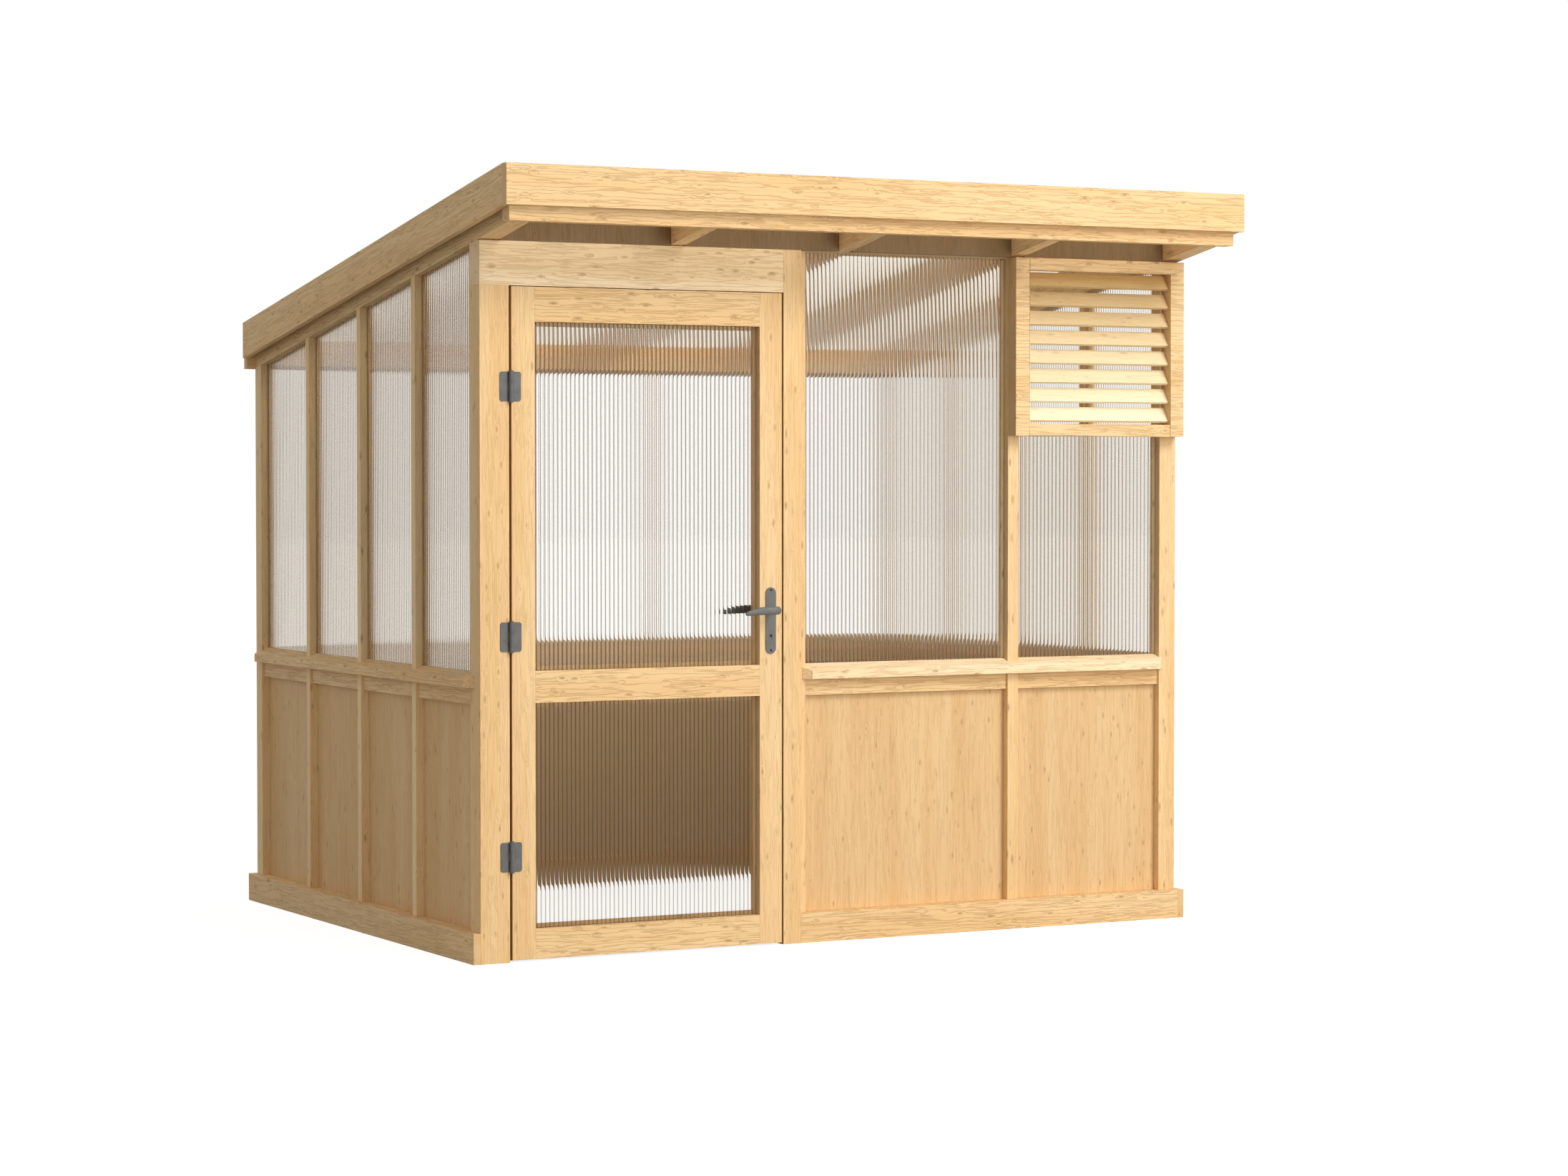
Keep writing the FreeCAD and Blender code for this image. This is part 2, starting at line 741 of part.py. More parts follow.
def hinge_leaf(height, side):
    """One leaf with its knuckles and screw holes: side -1 is on the frame, 1 on the door."""
    half = "hinge_height / 2"
    third = "hinge_height / 6"
    outer = "hinge_x + %d * hinge_leaf_reach" % side
    clear = "hinge_x + %d * (hinge_radius + 0.4)" % side
    core = "hinge_x + %d * knuckle_gap / 2" % side
    face = ("front - hinge_leaf_thickness", "front")
    low_x, high_x = (outer, clear) if side < 0 else (clear, outer)
    plate = block(low_x, high_x, *face, "%s - %s" % (height, half), "%s + %s" % (height, half))
    rounded = doc.addObject("Part::Fillet", "RoundedLeaf")
    rounded.Base = plate
    doc.recompute()
    corner_edges = [
        index for index, edge in enumerate(plate.Shape.Edges, start=1)
        if edge.BoundBox.YLength > 1 and abs(edge.BoundBox.XMin - far_x(plate, side)) < 0.01
    ]
    radius = sheet.hinge_corner_radius
    rounded.Edges = [(index, radius, radius) for index in corner_edges]
    if side < 0:
        spans = (("-" + half, "-%s - knuckle_gap / 2" % third), (third + " + knuckle_gap / 2", half))
    else:
        spans = (("-%s + knuckle_gap / 2" % third, third + " - knuckle_gap / 2"),)
    pieces = [rounded]
    for low, high in spans:
        pieces.append(knuckles(height, low, high))
        low_x, high_x = (clear, core) if side < 0 else (core, clear)
        pieces.append(block(low_x, high_x, *face, "%s + (%s)" % (height, low), "%s + (%s)" % (height, high)))
    bore = rod(
        "z", "hinge_x", "hinge_y", "%s - %s - 1" % (height, half),
        "hinge_pin_radius + hinge_pin_play", "hinge_height + 2",
    )
    return cut(joined(pieces), [bore])


def far_x(plate, side):
    """X of a leaf's edge that is furthest from the pin."""
    bounds = plate.Shape.BoundBox
    return bounds.XMin if side < 0 else bounds.XMax


def hinge_pin(height):
    """A pin with a cap at each end, held in the frame leaf's knuckles."""
    half = "hinge_height / 2"
    shaft = rod(
        "z", "hinge_x", "hinge_y", "%s - %s - hinge_pin_cap" % (height, half),
        "hinge_pin_radius", "hinge_height + 2 * hinge_pin_cap",
    )
    caps = [
        rod("z", "hinge_x", "hinge_y", start, "hinge_pin_cap_radius", "hinge_pin_cap")
        for start in ("%s - %s - hinge_pin_cap" % (height, half), "%s + %s" % (height, half))
    ]
    return joined([shaft] + caps)


def make_hinges():
    """Three hinges with their leaves on the faces of the post and the door."""
    heights = ("top_hinge_place", "middle_hinge_place", "bottom_hinge_place")
    face = "front - hinge_leaf_thickness"
    for label, side in (("hinge_frame_leaves", -1), ("hinge_door_leaves", 1)):
        leaves = []
        for index, height in enumerate(heights):
            points = hinge_screw_points(side)[4 * index:4 * index + 4]
            tools = countersinks(points, face, 1, "hinge_leaf_thickness")
            leaves.append(cut(hinge_leaf(height, side), tools))
        node(label, *leaves)
    node("hinge_pins", *[hinge_pin(height) for height in heights])
    node("hinge_frame_screws", *screws(hinge_screw_points(-1), face, 1, "screw_length"))
    node("hinge_door_screws", *screws(hinge_screw_points(1), face, 1, "screw_length"))


def plate_screw_points():
    """X and Z places of the two screws in each backplate."""
    return [("lever_x", "plate_bottom + 10"), ("lever_x", "plate_bottom + plate_height - 8")]


def backplate(low_y):
    """A long plate with round ends, a hole for the lever's neck and a keyhole."""
    radius = "plate_width / 2"
    middle = block(
        "lever_x - " + radius, "lever_x + " + radius, low_y, "%s + plate_thickness" % low_y,
        "plate_bottom + " + radius, "plate_bottom + plate_height - " + radius,
    )
    ends = [
        rod("y", "lever_x", low_y, height, radius, "plate_thickness")
        for height in ("plate_bottom + " + radius, "plate_bottom + plate_height - " + radius)
    ]
    holes = [
        rod(
            "y", "lever_x", "%s - 1" % low_y, "lever_place",
            "neck_radius + neck_play", "plate_thickness + 2",
        ),
        rod(
            "y", "lever_x", "%s - 1" % low_y, "lever_place - keyhole_drop",
            "keyhole_radius", "plate_thickness + 2",
        ),
        block(
            "lever_x - keyhole_slot_width / 2", "lever_x + keyhole_slot_width / 2",
            "%s - 1" % low_y, "%s + plate_thickness + 1" % low_y,
            "lever_place - keyhole_drop - keyhole_slot_drop", "lever_place - keyhole_drop",
        ),
    ]
    return joined([middle] + ends), holes


def lever(neck_low, neck_high, bar_low):
    """A lever bar that tapers and droops to its tip, on a round neck."""
    root = "lever_root_height / 2"
    tip = "lever_tip_height / 2"
    corners = [
        ("lever_x - lever_reach", "lever_place - lever_droop - %s" % tip),
        ("lever_x - lever_reach * 0.45", "lever_place - %s" % root),
        ("lever_x", "lever_place - " + root),
        ("lever_x + 6", "lever_place - %s / 2" % root),
        ("lever_x + 6", "lever_place + %s / 2" % root),
        ("lever_x", "lever_place + " + root),
        ("lever_x - lever_reach * 0.3", "lever_place + %s" % root),
        ("lever_x - lever_reach", "lever_place - lever_droop + " + tip),
    ]
    bar = extrusion("XZ_Plane", "-(%s) - lever_thickness" % bar_low, "lever_thickness", corners)
    neck = rod("y", "lever_x", neck_low, "lever_place", "neck_radius", "(%s) - (%s)" % (neck_high, neck_low))
    return joined([bar, neck])


def make_lock():
    """Lock case, backplates, levers, spindle, latch and dead bolt."""
    bolt_low = "lock_y - bolt_thickness / 2"
    bolt_high = "lock_y + bolt_thickness / 2"
    case = block(
        "lock_left", "door_right - forend_thickness",
        "lock_y - case_thickness / 2", "lock_y + case_thickness / 2",
        "case_bottom", "case_bottom + case_height",
    )
    forend = block(
        "door_right - forend_thickness", "door_right",
        "lock_y - forend_width / 2", "lock_y + forend_width / 2",
        "forend_bottom", "forend_bottom + forend_height",
    )
    play = "bolt_play"
    channels = [
        block(
            "latch_nose - latch_length - latch_throw - 1", "door_right + 1",
            "%s - %s" % (bolt_low, play), "%s + %s" % (bolt_high, play),
            "latch_bottom - " + play, "latch_bottom + latch_height + " + play,
        ),
        block(
            "door_right - dead_length - 1", "door_right + 1",
            "%s - %s" % (bolt_low, play), "%s + %s" % (bolt_high, play),
            "dead_bottom - " + play, "dead_bottom + dead_height + " + play,
        ),
        rod(
            "y", "lever_x", "lock_y - case_thickness", "lever_place",
            "spindle_hole_radius", "2 * case_thickness",
        ),
        rod(
            "y", "lever_x", "lock_y - case_thickness", "lever_place - keyhole_drop",
            "keyhole_radius", "2 * case_thickness",
        ),
    ]
    node("lock_case", cut(joined([case, forend]), channels))
    outer, outer_holes = backplate("front - plate_thickness")
    inner, inner_holes = backplate("door_back")
    outer_face = "front - plate_thickness"
    inner_face = "door_back + plate_thickness"
    points = plate_screw_points()
    node(
        "handle_backplates",
        cut(outer, outer_holes + countersinks(points, outer_face, 1, "plate_thickness")),
        cut(inner, inner_holes + countersinks(points, inner_face, -1, "plate_thickness")),
    )
    outer_screws = screws(points, outer_face, 1, "plate_screw_length")
    inner_screws = screws(points, inner_face, -1, "plate_screw_length")
    node("backplate_screws", *outer_screws, *inner_screws)
    node(
        "lever_handles",
        lever("front - lever_standoff", "front - 0.3", "front - lever_standoff - lever_thickness / 2"),
        lever(
            "door_back + 0.3", "door_back + lever_standoff",
            "door_back + lever_standoff - lever_thickness / 2",
        ),
    )
    half = "spindle_width / 2"
    node(
        "handle_spindle",
        block(
            "lever_x - " + half, "lever_x + " + half, "front - 0.3", "door_back + 0.3",
            "lever_place - " + half, "lever_place + " + half,
        ),
    )
    nose = [
        ("latch_nose - latch_length", bolt_low),
        ("latch_nose", bolt_low),
        ("latch_nose", bolt_low + " + 2"),
        ("latch_nose - latch_throw + 1", bolt_high),
        ("latch_nose - latch_length", bolt_high),
    ]
    node("latch_bolt", extrusion("XY_Plane", "latch_bottom", "latch_height", nose))
    node(
        "dead_bolt",
        block(
            "door_right - dead_length", "door_right", bolt_low, bolt_high,
            "dead_bottom", "dead_bottom + dead_height",
        ),
    )


def rafter_edges():
    """Left and right X of the three middle rafters."""
    places = ("first_rafter_place", "second_rafter_place", "third_rafter_place")
    return [
        ("left + %s - rafter_width / 2" % spot, "left + %s + rafter_width / 2" % spot) for spot in places
    ]


def make_roof():
    """Rafters, trimmers, fascias, frieze boards, noggins, sheets and capping bars."""
    span = ("front - roof_overhang + front_fascia_thickness + front_trimmer_thickness", "wall_back")
    end_edges = [
        ("wall_left", "wall_left + end_rafter_width"),
        ("wall_right - end_rafter_width", "wall_right"),
    ]
    middle = rafter_edges()
    node("end_rafters", *[along_roof(low, high, *span, "0", "rafter_height") for low, high in end_edges])
    node("middle_rafters", *[along_roof(low, high, *span, "0", "rafter_height") for low, high in middle])
    fascia_back = "front - roof_overhang + front_fascia_thickness"
    node(
        "front_trimmer",
        block("left", "right", fascia_back, span[0], "front_trimmer_bottom", "front_trimmer_top"),
    )
    node(
        "rear_trimmer",
        block(
            "left - rear_trimmer_lap", "right + rear_trimmer_lap",
            "wall_back", "rear_face", "rear_trimmer_bottom", "rear_trimmer_top",
        ),
    )
    node(
        "front_fascia",
        block(
            "-overall_width / 2", "overall_width / 2", "-overall_depth / 2", fascia_back,
            "overall_height - fascia_height", "overall_height",
        ),
    )
    drop = "overall_height - ((%s) - (" + fascia_back + ")) * roof_fall - (%s)"

    def fascia_top(y):
        return drop % (y, "0")

    def fascia_bottom(y):
        return drop % (y, "fascia_height")

    sides = (
        ("-overall_width / 2", "-overall_width / 2 + side_fascia_thickness"),
        ("overall_width / 2 - side_fascia_thickness", "overall_width / 2"),
    )
    node(
        "side_fascias",
        *[sloped(low, high, fascia_back, "wall_back", fascia_bottom, fascia_top) for low, high in sides],
    )
    edges = [end_edges[0]] + middle + [end_edges[1]]
    gaps = [(edges[index][1], edges[index + 1][0]) for index in range(4)]
    node(
        "frieze_boards",
        *[block(low, high, "front", "wall_front", "wall_top", "frieze_top") for low, high in gaps],
    )
    noggins = []
    for low, high in gaps:
        noggins.append(along_roof(low, high, "wall_front", "inner_front", "0", "noggin_height"))
        noggins.append(along_roof(low, high, "inner_back", "wall_back", "0", "noggin_height"))
    node("roof_noggins", *noggins)
    centres = ["(%s + %s) / 2" % edge for edge in middle]
    starts = ["left"] + [centre + " + sheet_gap" for centre in centres]
    ends = [centre + " - sheet_gap" for centre in centres] + ["right"]
    sheet_top = "rafter_height + sheet_thickness"
    node(
        "roof_sheets",
        *[
            along_roof(low, high, fascia_back, "rear_face", "rafter_height", sheet_top)
            for low, high in zip(starts, ends)
        ],
    )
    centres = ["left + capping_width / 2"] + centres + ["right - capping_width / 2"]
    node(
        "roof_capping_bars",
        *[
            along_roof(
                "%s - capping_width / 2" % centre, "%s + capping_width / 2" % centre,
                fascia_back, "rear_face", sheet_top, sheet_top + " + capping_thickness",
            )
            for centre in centres
        ],
    )


def make_vent():
    """The louvre box in front of the narrow bay, with eight fixed slats."""
    depth = ("vent_face", "wall_front")
    low = "vent_left + vent_side_width"
    high = "wall_right - vent_side_width"
    node(
        "vent_frame",
        block("vent_left", low, *depth, "vent_bottom", "vent_top"),
        block(high, "wall_right", *depth, "vent_bottom", "vent_top"),
        block(low, high, *depth, "vent_top - vent_top_width", "vent_top"),
        block(low, high, *depth, "vent_bottom", "vent_bottom + vent_bottom_width"),
    )
    slats = []
    for index in range(SLAT_COUNT):
        slat = doc.addObject("Part::Box", "Slat")
        tie(slat, Length="vent_width - 2 * vent_side_width", Width="slat_width", Height="slat_thickness")
        slat.Placement = FreeCAD.Placement(
            FreeCAD.Vector(), FreeCAD.Rotation(FreeCAD.Vector(1, 0, 0), sheet.slat_tilt)
        )
        tie(slat, **{"Placement.Rotation.Angle": "slat_tilt"})
        rise = "vent_bottom + lowest_slat_rise + %d * slat_pitch" % index
        place(slat, low, "vent_face + slat_recess + slat_thickness * sin(slat_tilt)", rise)
        slats.append(slat)
    node("vent_slats", *slats)


def check_document():
    """Stop if any object failed or any sub-part has no valid shape."""
    for thing in doc.Objects:
        if "Invalid" in thing.State or "Error" in thing.State:
            raise RuntimeError("failed: %s %s" % (thing.Name, thing.State))
    for piece in nodes:
        if piece.Shape.isNull() or not piece.Shape.isValid():
            raise RuntimeError("no valid shape: %s" % piece.Label)


def write_parts():
    """Write each sub-part to its own file."""
    os.makedirs("parts", exist_ok=True)
    for piece in nodes:
        piece.Shape.exportStep("parts/%s.step" % piece.Label)


make_base()
make_posts()
make_rails()
make_lower_panels()
make_sills()
make_panes()
make_door_frame()
make_door()
make_hinges()
make_lock()
make_roof()
make_vent()
doc.recompute()
check_document()
write_parts()
print("%d sub-parts" % len(nodes))
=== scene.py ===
import json
import math

import bmesh
import bpy
from bpy.props import FloatProperty, FloatVectorProperty, IntProperty, PointerProperty
from mathutils import Euler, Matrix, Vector


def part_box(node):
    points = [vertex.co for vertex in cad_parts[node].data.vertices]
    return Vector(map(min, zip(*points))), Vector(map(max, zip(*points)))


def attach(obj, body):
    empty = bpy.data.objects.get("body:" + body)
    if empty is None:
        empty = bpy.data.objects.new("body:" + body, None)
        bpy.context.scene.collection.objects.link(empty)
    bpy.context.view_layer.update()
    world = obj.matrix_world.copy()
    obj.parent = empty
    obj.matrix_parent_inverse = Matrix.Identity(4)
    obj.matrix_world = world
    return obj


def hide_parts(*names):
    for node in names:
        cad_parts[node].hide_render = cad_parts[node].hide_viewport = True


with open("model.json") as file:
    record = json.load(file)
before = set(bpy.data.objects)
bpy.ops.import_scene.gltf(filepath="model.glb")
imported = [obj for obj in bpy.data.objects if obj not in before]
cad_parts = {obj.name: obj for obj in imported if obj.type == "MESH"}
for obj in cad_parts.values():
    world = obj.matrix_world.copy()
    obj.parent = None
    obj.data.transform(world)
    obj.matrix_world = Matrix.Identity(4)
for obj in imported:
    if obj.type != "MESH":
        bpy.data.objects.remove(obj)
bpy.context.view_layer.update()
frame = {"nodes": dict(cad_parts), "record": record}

bl_info = {
    "name": "Lean-to greenhouse",
    "version": (1, 0, 0),
    "blender": (4, 5, 0),
    "location": "3D View > Sidebar > Greenhouse",
    "description": "Dresses the frame of a pine lean-to greenhouse with sheets, boards and fittings",
    "category": "Object",
}

MM = 0.001
# Points of a CAD mesh that are nearer than this are one point
SAME_PLACE = 0.01 * MM
# Play for a test on where a point lies
SLACK = 0.1 * MM

# Boards by the way their grain runs, each with the number of its stretch of timber
UPRIGHT = {
    "door_post_hinge": 0, "door_post_latch": 1, "front_posts": 2, "right_posts": 1,
    "back_posts": 2, "door_stops": 1, "door_hinge_stile": 2, "door_lock_stile": 0, "door_beads": 2,
}
CROSSWISE = {
    "base_board_front": 0, "base_board_back": 1, "threshold_board": 2, "back_sill": 0,
    "front_and_back_rails": 2, "front_trimmer": 2, "rear_trimmer": 1,
    "front_fascia": 0, "roof_noggins": 1, "door_top_rail": 2, "door_lock_rail": 0,
    "door_bottom_rail": 1, "vent_frame": 0,
}
LENGTHWISE = {"base_boards_side": 0, "ground_beams": 1, "side_rails": 2, "left_sill": 1, "right_sill": 0}
SLOPING = {"side_fascias": 0, "end_rafters": 1, "middle_rafters": 2}
BOARDING = {"front_panels": 0, "left_panels": 1}
LEFT_POSTS = {"left_posts": 0}
BACK_BOARDING = {"right_panels": 1, "back_panels": 0}
FRIEZE = {"frieze_boards": 1}
# Boards whose paler tones paint light
PAINTED_LIGHT_UPRIGHT = {"glazing_beads": 1}
PAINTED_LIGHT_CROSSWISE = {"door_header": 1, "front_sill": 1}
SLATS = {"vent_slats": 0}


def linear(colour):
    """An sRGB hex colour as linear red, green, blue and alpha."""
    levels = [int(colour[place:place + 2], 16) / 255 for place in (1, 3, 5)]
    curved = [level / 12.92 if level <= 0.04045 else ((level + 0.055) / 1.055) ** 2.4 for level in levels]
    return (*curved, 1.0)


# Sapwood, heartwood and growth lines of the lining boards in front, and of further stretches
# whose tones, in whole or in part, paint light and shade, as said at each
BOARD_TONES = (linear("#E6C08B"), linear("#E0B67F"), linear("#B78E58"))
# Lining boards at the back: paler, greyer tones that paint the cool shade inside
BACK_BOARD_PAINTED_SHADE_TONES = (linear("#E8CA9A"), linear("#E2C08E"), linear("#B89563"))
# Frieze that the eave keeps from the light: darker tones that paint the shade under the eave
FRIEZE_PAINTED_SHADE_TONES = (linear("#886D4A"), linear("#826642"), linear("#694F2C"))
# Slats: paler wood, whose tones also paint the light that the slats catch
SLAT_TONES = (linear("#F2D9A4"), linear("#ECCE91"), linear("#DAB16C"))
# Studs of the left wall: paler tones that paint light on that shaded side
LEFT_POST_PAINTED_LIGHT_TONES = (linear("#FBDCAA"), linear("#F6D29B"), linear("#D4A76B"))
# Paler tones that paint light: the lit band inside on the glazing beads and back rails, the bright top of the
# front sill, and the header's paler grey in the eave's shade
PAINTED_LIGHT_TONES = (linear("#FFE4BA"), linear("#FADAA9"), linear("#DDB27A"))
# Faces that the shut door closes: darker tones that paint the shade in the gap round the door
DOOR_GAP_SHADE_TONES = (linear("#C2996A"), linear("#BA9061"), linear("#94704A"))
CLOSING_NODES = (
    "door_post_hinge", "door_post_latch", "door_header", "door_stops", "door_hinge_stile", "door_lock_stile",
    "door_top_rail",
)


def colour_setting(name, description, colour):
    """One colour of the settings, given in sRGB."""
    return FloatVectorProperty(
        name=name, description=description, subtype="COLOR", size=4, min=0, max=1, default=linear(colour),
    )


def length_setting(name, description, least, usual):
    """One length of the settings."""
    return FloatProperty(
        name=name, description=description, subtype="DISTANCE", unit="LENGTH", min=least, default=usual,
    )


class TimberSettings(bpy.types.PropertyGroup):
    """Colours and grain of the planed pine."""

    sapwood: colour_setting("Sapwood", "Pale wood between the growth lines", "#F3CE98")
    heartwood: colour_setting("Heartwood", "Warmer wood in the broad bands of a board", "#EDC389")
    latewood: colour_setting("Latewood", "Darker growth lines", "#C2955A")
    knot: colour_setting("Knots", "Heart of a knot", "#9C7040")
    growth_line: length_setting("Growth line spacing", "Usual distance between two growth lines", MM, 10 * MM)
    knot_spacing: length_setting(
        "Knot spacing", "Usual distance inside the wood between two small knots", 5 * MM, 25 * MM,
    )
    eased_edge: length_setting("Eased edge", "Radius that the planer leaves on a board's edges", 0, 0.7 * MM)


class SheetSettings(bpy.types.PropertyGroup):
    """Sizes of the ribbed wall and roof sheets."""

    rib_pitch: length_setting("Rib pitch", "Distance between two ribs of a wall sheet", 2 * MM, 13.3 * MM)
    roof_pitch: length_setting("Roof rib pitch", "Distance between two ribs of a roof sheet", 2 * MM, 16 * MM)
    crown: length_setting(
        "Rib crown", "How far each side of a rib stands over the grooves beside it", 0, 0.8 * MM,
    )
    facets: IntProperty(
        name="Facets", description="Flat faces across one side of a rib", min=2, max=16, default=12,
    )


class FittingSettings(bpy.types.PropertyGroup):
    """Colours and sizes of the hinges and the lock furniture."""

    hinge_coat: colour_setting("Hinge coat", "Dull grey coat of the hinges", "#5F5F5D")
    handle_coat: colour_setting("Handle coat", "Dull grey coat of the lever and its plates", "#676561")
    screw_finish: colour_setting("Screw finish", "Blackened steel of the screws", "#1F1E1C")
    rounding: length_setting(
        "Edge rounding", "Radius on the edges of the plates and hinge leaves", 0, 0.7 * MM,
    )


class StageSettings(bpy.types.PropertyGroup):
    """Camera, lamps and floor."""

    camera_place: FloatVectorProperty(
        name="Camera place", description="Where the camera stands",
        subtype="TRANSLATION", unit="LENGTH", size=3, default=(-5.24216, -10.12218, 1.35),
    )
    camera_yaw: FloatProperty(
        name="Camera yaw", description="Turn of the camera towards the right",
        subtype="ANGLE", unit="ROTATION", default=math.radians(28.264),
    )
    camera_pitch: FloatProperty(
        name="Camera pitch", description="Tilt of the camera downwards",
        subtype="ANGLE", unit="ROTATION", default=math.radians(1.731),
    )
    lens: FloatProperty(name="Lens", description="Focal length in millimetres", default=84.87)
    key_power: FloatProperty(
        name="Key lamp", description="Power of the large soft lamp high in front on the right",
        subtype="POWER", unit="POWER", default=690,
    )
    fill_power: FloatProperty(
        name="Fill lamp",
        description="Power of the wide lamp low in front, which lights the wall under the eave",
        subtype="POWER", unit="POWER", default=340,
    )
    room_light: FloatProperty(
        name="Room light", description="Level of the even light from all round", min=0, default=0.5,
    )


def start_piece():
    """Leave edit mode and deselect everything."""
    if bpy.context.mode != "OBJECT":
        bpy.ops.object.mode_set(mode="OBJECT")
    bpy.ops.object.select_all(action="DESELECT")


def make_active(piece):
    """Select one piece only and make it active."""
    start_piece()
    piece.select_set(True)
    bpy.context.view_layer.objects.active = piece


def pick(piece, kind, choose):
    """Select the vertices, edges or faces of the edited piece that a test accepts."""
    bpy.ops.mesh.select_mode(type={"verts": "VERT", "edges": "EDGE", "faces": "FACE"}[kind])
    bpy.ops.mesh.select_all(action="DESELECT")
    mesh = bmesh.from_edit_mesh(piece.data)
    for part in getattr(mesh, kind):
        if choose(part):
            part.select_set(True)
    mesh.select_flush_mode()
    bmesh.update_edit_mesh(piece.data)


def settle(piece):
    """Move a piece's place, turn and size into its mesh."""
    make_active(piece)
    bpy.ops.object.transform_apply(location=True, rotation=True, scale=True)


def add_modifier(piece, kind, **settings):
    """Add one modifier, set it and apply it."""
    make_active(piece)
    modifier = piece.modifiers.new(kind.title(), kind)
    for name, value in settings.items():
        setattr(modifier, name, value)
    bpy.ops.object.modifier_apply(modifier=modifier.name)


def face_outwards(piece):
    """Merge doubles and turn all faces outwards."""
    make_active(piece)
    bpy.ops.object.mode_set(mode="EDIT")
    bpy.ops.mesh.select_all(action="SELECT")
    bpy.ops.mesh.remove_doubles(threshold=SAME_PLACE)
    bpy.ops.mesh.normals_make_consistent(inside=False)
    bpy.ops.object.mode_set(mode="OBJECT")


def smooth(piece, degrees):
    """Smooth shading across edges that turn by less than an angle."""
    make_active(piece)
    bpy.ops.object.shade_smooth_by_angle(angle=math.radians(degrees))


def merge_pieces(name, pieces):
    """Join several pieces into one."""
    make_active(pieces[0])
    for piece in pieces[1:]:
        piece.select_set(True)
    if len(pieces) > 1:
        bpy.ops.object.join()
    pieces[0].name = name
    return pieces[0]


def body_of(node):
    """The body that a CAD node rides on."""
    for body, members in frame["record"]["behaviour"]["bodies"].items():
        if node in members:
            return body
    raise RuntimeError("no body for %s" % node)


def stand_for(piece, node, material):
    """Let a finished piece stand for a CAD node, in its place and on its body."""
    piece.data.materials.clear()
    piece.data.materials.append(material)
    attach(piece, body_of(node))
    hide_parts(node)


def paint(nodes, material):
    """Give carried CAD nodes a material."""
    for node in nodes:
        mesh = frame["nodes"][node].data
        mesh.materials.clear()
        mesh.materials.append(material)


def solid_boxes(node):
    """Lowest and highest corner of each solid of a CAD node, from left to right and front to back."""
    mesh = bmesh.new()
    mesh.from_mesh(frame["nodes"][node].data)
    bmesh.ops.remove_doubles(mesh, verts=mesh.verts, dist=SAME_PLACE)
    left = set(mesh.verts)
    boxes = []
    while left:
        grown = {left.pop()}
        edge = list(grown)
        while edge:
            vertex = edge.pop()
            for link in vertex.link_edges:
                other = link.other_vert(vertex)
                if other in left:
                    left.remove(other)
                    grown.add(other)
                    edge.append(other)
        places = [vertex.co for vertex in grown]
        low = Vector([min(place[axis] for place in places) for axis in range(3)])
        high = Vector([max(place[axis] for place in places) for axis in range(3)])
        boxes.append((low, high))
    mesh.free()
    return sorted(boxes, key=lambda box: (round(box[0].x, 3), round(box[0].y, 3), round(box[0].z, 3)))


def add(tree, kind, links=None, values=None, **settings):
    """Add a shader node with its settings, socket values and incoming links.

    A node that is given as the start of a link stands for its first output.
    """
    node = tree.nodes.new(kind)
    for name, value in settings.items():
        setattr(node, name, value)
    for socket, value in (values or {}).items():
        node.inputs[socket].default_value = value
    for socket, source in (links or {}).items():
        start = source.outputs[0] if isinstance(source, bpy.types.Node) else source
        tree.links.new(start, node.inputs[socket])
    return node


def new_material(name):
    """A material with its output and an empty tree."""
    material = bpy.data.materials.new(name)
    material.use_nodes = True
    material.node_tree.nodes.clear()
    output = add(material.node_tree, "ShaderNodeOutputMaterial")
    return material, material.node_tree, output


# Share of the growth lines, how far they wander in metres, relief, and share of brown streaks
STANDING = (0.2, 0.01, 0.35, 0.15)
LYING = (0.4, 0.009, 0.5, 0.1)
PANEL = (0.16, 0.01, 0.35, 0.2)

# Turns that bring a board's grain onto the pattern's own Z axis
GRAIN_TURNS = {
    "upright": (0.0, 0.0, 0.0),
    "crosswise": (0.0, -math.pi / 2, 0.0),
    "lengthwise": (math.pi / 2, 0.0, 0.0),
}


